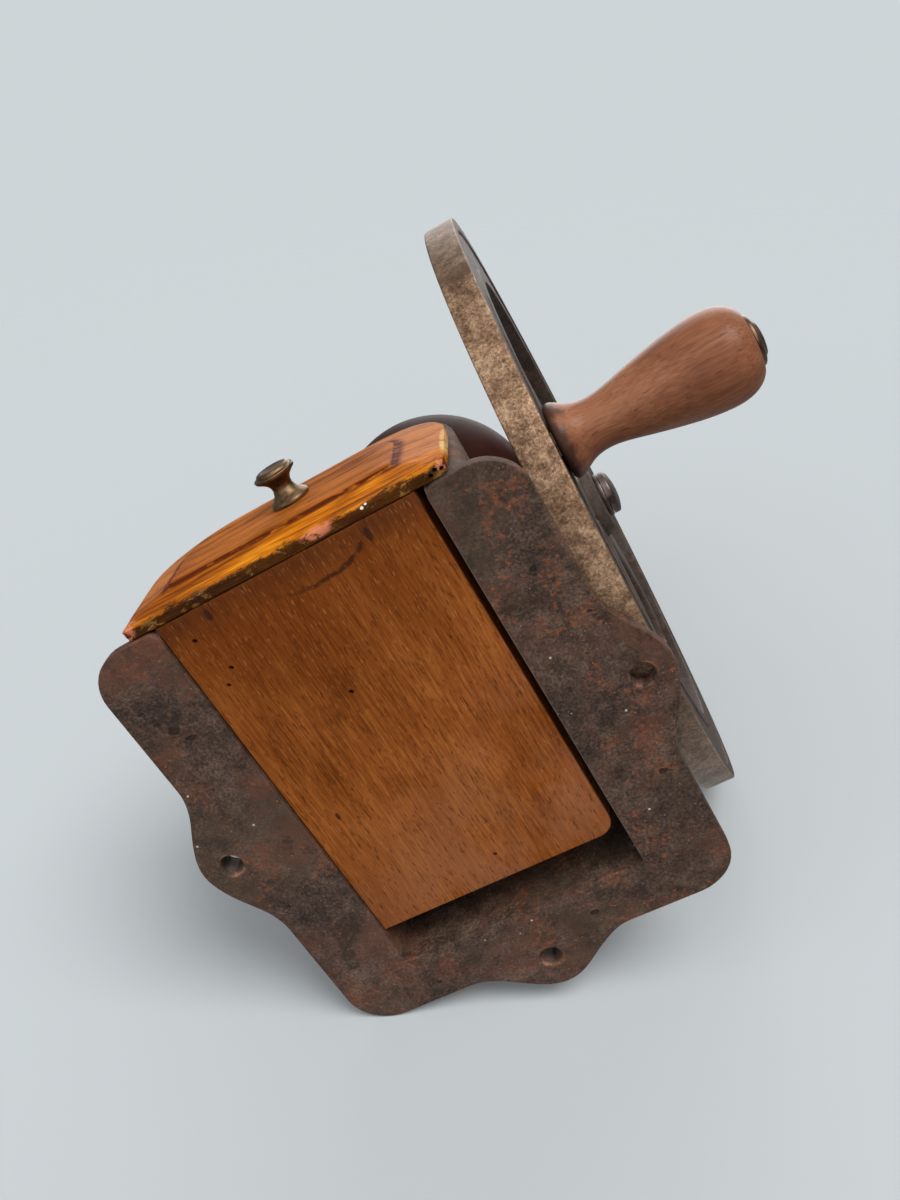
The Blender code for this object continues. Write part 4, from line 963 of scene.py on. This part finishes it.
def makeBoard():
    look = board
    back, half, low, high = look["back"], look["halfWidth"], look["low"], look["high"]
    edgeY = back - look["margin"]
    bevelY = edgeY - look["bevelDepth"]
    faceY = bevelY - look["step"]
    outer = boardOutline(half, low, high, look["lowCorner"], look["topCorner"])
    fieldHalf = half - look["sideMargin"]
    fieldLow, fieldHigh = low + look["lowMargin"], high - look["topMargin"]
    field = boardOutline(fieldHalf, fieldLow, fieldHigh, 1.5, look["fieldCorner"])
    inset = look["stepWidth"]
    top = boardOutline(fieldHalf - inset, fieldLow + inset, fieldHigh - inset, 1.0,
                       look["fieldCorner"] - inset)
    centre = [(0, (fieldLow + fieldHigh) / 2)] * len(outer)
    rings = [(back, mixedRing(outer, centre, 0.012), 0.4), (back - 0.35, outer, 1.0),
             (back - 1.2, outer, 1.0), (back - 2.2, outer, 1.0), (edgeY + 0.35, outer, 0.9),
             (edgeY - 0.02, mixedRing(outer, field, 0.03), 0.5)]
    rings += [(edgeY + (bevelY - edgeY) * share, mixedRing(outer, field, share), 0.0)
              for share in (0.12, 0.28, 0.46, 0.64, 0.82, 0.95)]
    rings += [(bevelY + 0.05, field, 0.0), (bevelY - 0.35, mixedRing(field, top, 0.25), 0.0),
              (faceY + 0.15, mixedRing(field, top, 0.85), 0.0), (faceY, mixedRing(field, top, 1.15), 0.0)]
    rings += [(faceY, mixedRing(top, centre, share), 0.0) for share in (0.25, 0.5, 0.75, 0.9)]
    shape = bmesh.new()
    layers = []
    for y, ring, ragged in rings:
        layer = []
        for x, z in ring:
            worn = 0.0
            if ragged and z < 12:
                here = Vector((x * 0.16, y * 0.5, 5))
                worn = look["chip"] * ragged * max(0, noise.noise(here) + 0.25 * noise.noise(here * 4))
                tip = smoothStep(-x, half - 5, half) + 0.7 * smoothStep(x, half - 4, half)
                worn += look["tipLoss"] * tip * ragged * (0.6 + 0.4 * noise.noise(here * 5))
            wave = 0.12 * noise.noise(Vector((x * 0.05, z * 0.08, y * 0.3)))
            spot = place(look["middle"] + x * (1 - 0.004 * worn), y + wave, z + worn)
            layer.append(shape.verts.new(spot))
        layers.append(layer)
    joinRings(shape, layers)
    shape.faces.new(layers[0][::-1])
    shape.faces.new(layers[-1])
    holes = [cutBy(rodMesh("torn", look["tornRadius"], place(x, y, 0), place(x - 0.6, y, 6.5), 12))
             for x, y in look["torn"]]
    mesh = worked("boardFielded", toMesh("boardFielded", shape), holes)
    addPiece("boardFielded", mesh, boardLook, "drawer", stands=["drawer_front"], slot="amber_wood",
             sharp=34)


makeBoard()


# Drawer bottom with worm holes; places are pixels of the photograph's frame, then the radius
bottom = {
    "holes": ((194.4, 641.3, 0.8), (230.8, 667.8, 0.8), (228.5, 685.2, 0.75), (350.8, 692.0, 0.9),
              (494.5, 854.1, 0.8), (450, 637, 0.35)),
    "holeWay": (0.4, 0.3, 3.2), "corner": 6, "edge": 0.5,
}


def onPlane(pixelX, pixelY, level):
    # where the camera's sight line through a pixel meets a height
    camera = scene.camera.matrix_world
    width, height = view["frame"]
    ray = camera.to_3x3() @ Vector((pixelX - width / 2, height / 2 - pixelY, -view["focalPixels"]))
    return camera.translation + ray * ((level - camera.translation.z) / ray.z)


def makeBottom():
    look = bottom
    low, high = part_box("drawer_bottom")
    middle = (low.z + high.z) / 2
    left, front, right, back = [side / mm for side in (low.x, low.y, high.x, high.y)]
    corner = look["corner"]
    outline = [(left, front), (right, front),
               *arcPoints(right - corner, back - corner, corner, 0, quarterTurn, 8), (left, back)]
    plank = plateMesh("drawerPlank", [outline], (high.z - low.z) / mm, look["edge"],
                      Matrix.Translation((0, 0, middle)))
    steps = []
    for x, y, radius in look["holes"]:
        spot = onPlane(x, y, low.z)
        steps.append(cutBy(rodMesh("worm", radius, spot - Vector((0, 0, 1 * mm)),
                                   spot + Vector(look["holeWay"]) * mm, 14)))
    mesh = worked("drawerPlank", plank, steps)
    addPiece("drawerPlank", mesh, drawerLook, "drawer", stands=["drawer_bottom"], slot="drawer_wood")
    for name in ("drawer_side_left", "drawer_side_right", "drawer_back"):
        mesh = worked(name + "Board", boxMesh(name, *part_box(name)), [roundEdges(0.6, 2)])
        addPiece(name + "Board", mesh, drawerLook, "drawer", stands=[name], slot="drawer_wood")


makeBottom()


# Drawer knob: flared foot, hollow neck, head with a lip and a raised centre
knob = {
    "outline": ((6.55, 0.0), (6.6, 0.7), (6.2, 1.3), (5.0, 2.2), (4.0, 3.4), (3.4, 5.0), (3.5, 6.2),
                (4.2, 7.4), (5.4, 8.4), (6.5, 9.1), (6.95, 9.5), (7.0, 10.3), (6.7, 10.5), (5.9, 10.55),
                (5.6, 11.4), (5.1, 11.75), (3.8, 11.8), (3.2, 11.6), (0, 11.6)),
}


def makeKnob():
    low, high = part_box("drawer_knob")
    centre = Vector(((low.x + high.x) / 2, high.y, (low.z + high.z) / 2))
    addTurned("drawerKnobCast", [(0, 0)] + filleted(knob["outline"], 0.35, 2), centre, (0, -1, 0), 72,
              False, bronzeLook, "drawer", stands=["drawer_knob"], slot="bronze")


makeKnob()
print("drawer made")


# Upper casting: flange, skirt, burr housing, bush boss and the cup for the globe's neck
casting = {
    "flangeX": 47, "flangeY": 43, "flangeLow": 68.3, "flangeThickness": 5, "flangeCorner": 9,
    "skirtFoot": (38, 32), "skirtTop": (36, 29), "skirtRound": 7, "housingHalf": 42,
    "housingRadius": 36, "bossRadius": 14, "bossEnd": 62, "cupRadius": 28, "cupTop": 178,
    "seatRadius": 23.5, "throatRadius": 17, "shaft": 132, "voxel": 1.1,
    "bores": ((26, -60, -8, 64), (17, -10, 26, 64), (9.3, 24, 70, 48)),  # radius, from, to, sides
}


def makeCasting():
    look = casting
    outline = boardOutline(look["flangeX"], -look["flangeY"], look["flangeY"], look["flangeCorner"],
                           look["flangeCorner"], 4)
    flangeMiddle = place(0, 0, look["flangeLow"] + look["flangeThickness"] / 2)
    flange = plateMesh("castingFlange", [outline], look["flangeThickness"], 0.6,
                       Matrix.Translation(flangeMiddle))
    (lowX, lowY), (topX, topY) = look["skirtFoot"], look["skirtTop"]
    skirt = boxMesh("skirt", place(-lowX, -lowY, look["flangeLow"] + 2),
                    place(lowX, lowY, shaftHeight / mm), place(-topX, -topY, 0), place(topX, topY, 0))
    skirt = worked("skirt", skirt, [roundEdges(look["skirtRound"], 6)])
    half, radius = look["housingHalf"], look["housingRadius"]
    boss, end = look["bossRadius"], look["bossEnd"]
    profile = [(0, end), (boss - 1, end), (boss, end - 1), (boss, half + 5), (boss + 1.5, half + 1.5),
               (boss + 5, half), (radius - 2, half), (radius, half - 2), (radius, half - 9),
               (radius - 1.2, half - 10.5), (radius - 1.2, 10.5 - half), (radius, 9 - half),
               (radius, 1 - half), (radius - 0.6, -half), (0, -half)]
    housing = turned("housing", [(r, h + baseMiddleX / mm) for r, h in profile], shaftLine, alongX)
    top, cup = look["cupTop"], look["cupRadius"]

    def underGlobe(height):
        return place((globeCentre.x - baseMiddleX) / mm, globeCentre.y / mm, height)

    cupMesh = turned("cup", [(0, top), (cup - 1, top), (cup, top - 1), (cup, top - 9),
                             (cup - 1.5, top - 11), (cup - 1.5, top - 20), (cup, top - 30),
                             (0, top - 30)], underGlobe(0), alongZ)
    steps = [joinWith(housing), joinWith(cupMesh), joinWith(flange),
             ("REMESH", {"mode": 'VOXEL', "voxel_size": look["voxel"] * mm, "use_smooth_shade": True}),
             ("SMOOTH", {"factor": 0.5, "iterations": 3})]
    for size, low in ((look["throatRadius"], look["shaft"]), (look["seatRadius"], top - 12)):
        steps.append(cutBy(rodMesh("throat", size, underGlobe(low), underGlobe(top + 5), 64)))
    steps.append(cutBy(boxMesh("hollow", place(-34, -27, 60), place(34, 27, 101), place(-34, -22, 0),
                               place(34, 22, 0))))
    for size, start, stop, sides in look["bores"]:
        steps.append(cutBy(rodMesh("bore", size, place(start, 0, look["shaft"]),
                                   place(stop, 0, look["shaft"]), sides)))
    steps.append(cutBy(boxMesh("chute", place(-34.3, -14, 95), place(-28.3, 14, 125))))
    mesh = worked("castingBody", skirt, steps)
    addPiece("castingBody", mesh, castingPaint, "frame", stands=["grinder_body"], slot="dark_paint",
             sharp=50)
    print("casting faces:", len(mesh.polygons))


makeCasting()

# Left end: cover with a rolled edge, adjusting screw with its fluted head, lock nut
leftEnd = {
    "coverRadius": 35, "coverBore": (9.3, 6.3), "screwHole": 1.9, "headRadius": 13, "scallops": 8,
    "scallopDepth": 0.13, "nutCorner": 11, "nutBore": 6.3,
}


def makeLeftEnd():
    look = leftEnd
    left, right = [corner.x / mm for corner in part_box("cover_plate")]
    rim, (bore, mouth) = look["coverRadius"], look["coverBore"]
    profile = [(bore, right), (rim, right), (rim, right - 4.6), (rim - 1.6, right - 5),
               (27.5, right - 5), (26.5, right - 4), (17.5, right - 4), (14.2, right - 6.2),
               (13, right - 9), (13, left + 0.8), (12.2, left), (mouth, left)]
    mesh = turned("coverTurned", filleted(profile, 0.7, 3, True), shaftLine, alongX, 96, True)
    holes = []
    for index in (1, 2, 3):
        start = middleOf("cover_screw_%d" % index)
        start.x = left * mm - 0.03
        holes.append(cutBy(rodMesh("hole", look["screwHole"], start, start + Vector((0.08, 0, 0)), 20)))
    addPiece("coverTurned", worked("coverTurned", mesh, holes), castingPaint, "frame",
             stands=["cover_plate"], slot="dark_paint")

    low, high = [corner.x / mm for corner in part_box("adjusting_screw")]
    head = look["headRadius"]
    profile = [(0, high), (6, high), (6, low + 12), (head - 1.5, low + 12), (head, low + 10.5),
               (head, low + 1.5), (head - 1.5, low), (5, low), (4, low + 1), (0, low + 1)]
    shape = turnedShape(filleted(profile, 0.5, 2), shaftLine, alongX, 128)
    for vertex in shape.verts:
        side = vertex.co - Vector((vertex.co.x, 0, shaftHeight))
        if side.length > (head - 2) * mm:  # scallops for the fingers
            turn = look["scallops"] * math.atan2(side.z, side.y) - math.pi
            side *= 1 - look["scallopDepth"] * max(0, math.cos(turn)) ** 1.5
            vertex.co = Vector((vertex.co.x, side.y, shaftHeight + side.z))
    addPiece("adjusterHead", toMesh("adjusterHead", shape), brassLook, "adjuster",
             stands=["adjusting_screw"], slot="brass", sharp=42)

    low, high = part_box("lock_nut")
    hexagon = arcPoints(0, 0, look["nutCorner"], 0, math.tau * 5 / 6, 5)
    bore = arcPoints(0, 0, look["nutBore"], 0, math.tau * 39 / 40, 39)
    turn = Matrix.Translation(((low.x + high.x) / 2, 0, shaftHeight)) @ Matrix.Rotation(
        quarterTurn, 4, 'Y')
    nut = plateMesh("lockNutHex", [hexagon, bore], (high.x - low.x) / mm, 0.5, turn)
    addPiece("lockNutHex", nut, darkSteelLook, "jam_nut", stands=["lock_nut"], slot="burr_steel")


makeLeftEnd()


# Globe hopper: bowl with its neck, dome with the filling mouth, sliding door, band and pivot
globe = {
    "radius": 52, "wall": 1.5, "neckRadius": 23.2, "neckStart": 46, "mouthHalf": 44, "mouthTop": 20,
    "mouthLow": 60, "doorHalf": 54, "doorSide": 90, "doorTop": 3.2, "doorLow": 68, "doorLift": 0.7,
    "doorWall": 1.2, "disc": 11, "poleHole": 3, "seamGap": 0.07,
    "pivot": ((0, 3.6), (2.2, 3.55), (4.6, 2.7), (5.8, 1.5), (6.0, 0.8), (6.0, 0), (2.4, 0),
              (2.4, -4.8), (5.7, -4.8), (5.7, -6.4), (0, -6.4)),
    "doorKnob": ((0, 0), (4.3, 0), (4.3, 0.8), (3.2, 1.5), (2.1, 3.2), (2.0, 4.4), (2.9, 5.6),
                 (4.2, 6.6), (4.5, 7.5), (4.0, 8.4), (2.4, 8.9), (0, 9.0)),
}


def globeArc(radius, first, last, steps):
    angles = [math.radians(first + (last - first) * step / steps) for step in range(steps + 1)]
    return [(radius * math.sin(angle), radius * math.cos(angle)) for angle in angles]


def globeWay(azimuth, polar):  # degrees from the front and from the pole
    turn, tilt = math.radians(azimuth - 90), math.radians(polar)
    return Vector((math.sin(tilt) * math.cos(turn), math.sin(tilt) * math.sin(turn), math.cos(tilt)))


def mouthWaste(inner, outer):
    look = globe
    half, top = look["mouthHalf"], look["mouthTop"]
    azimuths = [2 * half * k / 24 - half - look["doorSide"] for k in range(25)]
    polars = [top + (look["mouthLow"] - top) * k / 12 for k in range(13)]
    shape = bmesh.new()
    for radius in (outer, inner):
        joinRings(shape, [[shape.verts.new(globeCentre + globeWay(azimuth, polar) * radius * mm)
                           for azimuth in azimuths] for polar in polars], around=False)
    bmesh.ops.bridge_loops(shape, edges=[edge for edge in shape.edges if len(edge.link_faces) == 1])
    return toMesh("mouthWaste", shape)


def makeGlobe():
    look = globe
    radius, wall, neck = look["radius"], look["wall"], look["neckRadius"]
    inner = radius - wall
    neckEnd = (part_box("hopper_bowl")[0].z - globeCentre.z) / mm
    outerEnd = 180 - math.degrees(math.asin(neck / radius))
    innerEnd = 180 - math.degrees(math.asin((neck - wall) / inner))
    profile = [*globeArc(radius, 90, outerEnd - 1.5, 30), (neck, -look["neckStart"]), (neck, neckEnd),
               (neck - wall, neckEnd), *globeArc(inner, innerEnd, 90, 24)]
    addTurned("bowlSpun", profile, globeCentre, alongZ, 128, True, sheetPaint, "frame",
              stands=["hopper_bowl"], slot="dark_paint")

    pole, seam = look["poleHole"], 90 - look["seamGap"]
    profile = globeArc(radius, pole, seam, 34) + globeArc(inner, seam, pole, 34)
    dome = turned("domeSpun", profile, globeCentre, alongZ, 128, True)
    dome = worked("domeSpun", dome, [cutBy(mouthWaste(inner - 3, radius + 3))])
    addPiece("domeSpun", dome, sheetPaint, "frame", stands=["hopper_dome"], slot="dark_paint")

    low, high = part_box("hopper_band")
    reach, half = (high.x - low.x) / 2 / mm, (high.z - low.z) / 2 / mm
    upper = [(reach - 0.3, half - 1.8), (reach, half - 1.3), (reach, half), (reach - 0.7, half)]
    profile = [(r, -h) for r, h in upper[::-1]] + upper
    addTurned("bandRolled", filleted(profile, 0.3, 2, True), globeCentre, alongZ, 128, True, sheetPaint,
              "frame", stands=["hopper_band"], slot="dark_paint")


makeGlobe()


def doorWaste(tall):
    # the ring sector that the door leaves free, from inside the globe to above it
    look = globe
    half = look["doorHalf"]
    azimuths = [(360 - 2 * half) * step / 48 + half - look["doorSide"] for step in range(49)]
    shape = bmesh.new()
    corners = ((look["disc"], -2), (tall * 1.05, -2), (tall * 1.05, tall), (look["disc"], tall))
    sides = [[shape.verts.new(globeCentre + (globeWay(azimuth, 90) * reach + Vector((0, 0, height))) * mm)
              for azimuth in azimuths] for reach, height in corners]
    joinRings(shape, sides + sides[:1], around=False)
    for end in (0, -1):
        shape.faces.new([side[end] for side in sides])
    return toMesh("doorWaste", shape)


def makeDoor():
    look = globe
    inner = look["radius"] + look["doorLift"]
    outer = inner + look["doorWall"]
    top, low = look["doorTop"], look["doorLow"]
    profile = filleted(globeArc(outer, top, low, 28) + globeArc(inner, low, top, 28), 0.3, 2, True)
    door = turned("doorSpun", profile, globeCentre, alongZ, 128, True)
    mesh = worked("doorSpun", door, [cutBy(doorWaste(outer + 3)), roundEdges(0.3, 1, 50)])
    addPiece("doorSpun", mesh, sheetPaint, "door", stands=["hopper_door"], slot="dark_paint")

    seat = outer + 0.3
    profile = filleted([(r, seat + h) for r, h in look["pivot"]], 0.3, 2)
    addTurned("pivotTurned", profile, globeCentre, alongZ, 64, False, brassLook, "frame",
              stands=["door_pivot"], slot="brass")
    way = globeWay(-look["doorSide"], (look["mouthTop"] + low) / 2)
    addTurned("doorKnobTurned", filleted(look["doorKnob"], 0.3, 2), globeCentre + way * seat * mm, way, 48,
              False, brassLook, "door", stands=["door_knob"], slot="brass")


makeDoor()
print("hopper made")

# Slotted screws of the castings: count, way they point, radius and length
screws = {
    "body_screw_%d": (4, (0, 0, 1), 2.0, 14), "cover_screw_%d": (3, (-1, 0, 0), 1.6, 13),
    "hopper_screw_%d": (3, None, 1.7, 4.8),  # these point away from the globe's axis
}


def makeScrew(name, axis, radius, length, turn):
    spots = [vertex.co for vertex in nodes[name].data.vertices]
    middle = sum(spots, Vector()) / len(spots)
    height, head = radius * 1.1, 2 * radius
    start = middle + axis * (max(spot.dot(axis) for spot in spots) - height * mm - middle.dot(axis))
    profile = [(0, height), (head * 0.45, height * 0.97), (head * 0.82, height * 0.7),
               (head, height * 0.2), (head, 0), (radius, 0), (radius, -length), (0, -length)]
    mesh = turned(name + "Head", filleted(profile, 0.25, 2), start, axis, 36)
    side = Matrix.Rotation(turn, 3, axis) @ axis.orthogonal().normalized()
    slot = boxMesh("slot", Vector((-5, -0.35, height * 0.45)) * mm, Vector((5, 0.35, height + 1)) * mm)
    slot.transform(Matrix.Translation(start) @ Matrix((side, axis.cross(side), axis)).transposed().to_4x4())
    mesh = worked(name + "Head", mesh, [cutBy(slot)])
    addPiece(name + "Head", mesh, darkSteelLook, "frame", stands=[name], slot="burr_steel")


def makeScrews():
    turn = 0.7
    for pattern, (count, axis, radius, length) in screws.items():
        for index in range(count):
            name = pattern % (index + 1)
            way = Vector(axis) if axis else (middleOf(name) - globeCentre) * Vector((1, 1, 0))
            makeScrew(name, way.normalized(), radius, length, turn)
            turn += 1.3


makeScrews()


# CAD solids that keep their own shape
def finishFrameNodes():
    steel = ("drive_shaft", "burr_pin", "wheel_key", "thrust_spring", "handle_spindle", "knob_screw")
    dark = ("burr_ring", "burr_cone", "feed_worm")
    bronze = ("left_bush", "right_bush")
    for name in steel + dark + bronze:
        look = steelLook if name in steel else darkSteelLook if name in dark else bronzeLook
        node = nodes[name]
        if not node.material_slots:
            node.data.materials.append(look)
        for slot in node.material_slots:
            slot.material = look
        bevel = node.modifiers.new("edges", 'BEVEL')
        bevel.width = 0.25 * mm
        bevel.segments = 2
        bevel.limit_method = 'ANGLE'
        bevel.angle_limit = math.radians(40)


finishFrameNodes()
print("fasteners and shaft finished")


# Pale table: one sheet where the tipped mill lies, one under the foot for the upright views.
# Each is seen from above only, lets light through, and fades into the pale room.
table = {
    "normal": (0.3816, -0.9114, -0.1516), "level": -108.5, "tilted": (0.447, 0.480, 0.499),
    "level floor": (0.688, 0.734, 0.760), "size": 1.6, "fadeStart": 0.5, "fadeEnd": 1.3, "drop": 0.6,
}


def makeTableMaterial(name):
    material, point = startMaterial(name)
    tree = material.node_tree
    shader = tree.nodes["Principled BSDF"]
    fill(shader.inputs, {"Base Color": table[name], "Roughness": 1.0, "Specular IOR Level": 0.0})
    clear = tree.nodes.new("ShaderNodeBsdfTransparent").outputs[0]
    back = tree.nodes.new("ShaderNodeNewGeometry").outputs["Backfacing"]
    unseen = minus(1.0, tree.nodes.new("ShaderNodeLightPath").outputs["Is Camera Ray"])
    faded = between(vectorMaths('LENGTH', point)["Value"], table["fadeStart"], table["fadeEnd"])
    mixed = addNode("MixShader", {0: highest(back, unseen, faded), 1: shader.outputs[0], 2: clear})
    fill(tree.nodes["Material Output"].inputs, {"Surface": mixed.outputs[0]})
    return material


def addSheet(name, centre, normal, material):
    shape = bmesh.new()
    bmesh.ops.create_grid(shape, x_segments=1, y_segments=1, size=table["size"])
    mesh = bpy.data.meshes.new(name)
    shape.to_mesh(mesh)
    shape.free()
    mesh.materials.append(material)
    sheet = addObject(name, mesh)
    sheet.matrix_world = Matrix.Translation(centre) @ normal.to_track_quat('Z', 'Y').to_matrix().to_4x4()


def addStage():
    normal = Vector(table["normal"]).normalized()
    level = table["level"] * mm + normal.x * baseMiddleX
    middle = (cadLow + cadHigh) / 2
    addSheet("tableSheet", middle + normal * (level - middle.dot(normal)), normal,
             makeTableMaterial("tilted"))
    addSheet("floorSheet", Vector((0, 0, -table["drop"] * mm)), Vector(alongZ),
             makeTableMaterial("level floor"))
    return normal


tableUp = addStage()

# Soft light: a broad key over the table from the right, a fill beside the camera, a pale room;
# the top and back lamps serve the upright views. Strength, angle and colour of each lamp.
light = {
    "key": (2.3, 34, (1.0, 0.985, 0.96)), "fill": (1.25, 90, (0.96, 0.98, 1.0)),
    "top": (1.8, 50, (1, 1, 1)), "back": (0.5, 70, (1, 1, 1)),
    "room": 0.34, "background": (0.620, 0.665, 0.685),
}


def addLamp(name, direction):
    lamp = bpy.data.lights.new(name, 'SUN')
    lamp.energy, angle, lamp.color = light[name]
    lamp.angle = math.radians(angle)
    turn = (-Vector(direction)).to_track_quat('-Z', 'Y').to_matrix().to_4x4()
    addObject(name, lamp).matrix_world = turn


def addLight():
    right = Vector(view["right"])
    addLamp("key", tableUp * 0.85 + right * 0.35 - forward * 0.30)
    addLamp("fill", tableUp * 0.20 - right * 0.40 - forward * 0.90)
    addLamp("top", (0.3, -0.3, 1.0))
    addLamp("back", (-0.6, 0.7, 0.35))
    world = bpy.data.worlds.new("room")
    scene.world = world
    world.use_nodes = True
    tree = world.node_tree
    room, pale = tree.nodes["Background"], tree.nodes.new("ShaderNodeBackground")
    fill(room.inputs, {"Color": (1, 1, 1), "Strength": light["room"]})
    fill(pale.inputs, {"Color": light["background"], "Strength": 1.0})
    seen = tree.nodes.new("ShaderNodeLightPath").outputs["Is Camera Ray"]
    mixed = addNode("MixShader", {0: seen, 1: room.outputs[0], 2: pale.outputs[0]})
    fill(tree.nodes["World Output"].inputs, {"Surface": mixed.outputs[0]})


addLight()
scene.view_settings.view_transform = 'Standard'
print("stage and light ready")
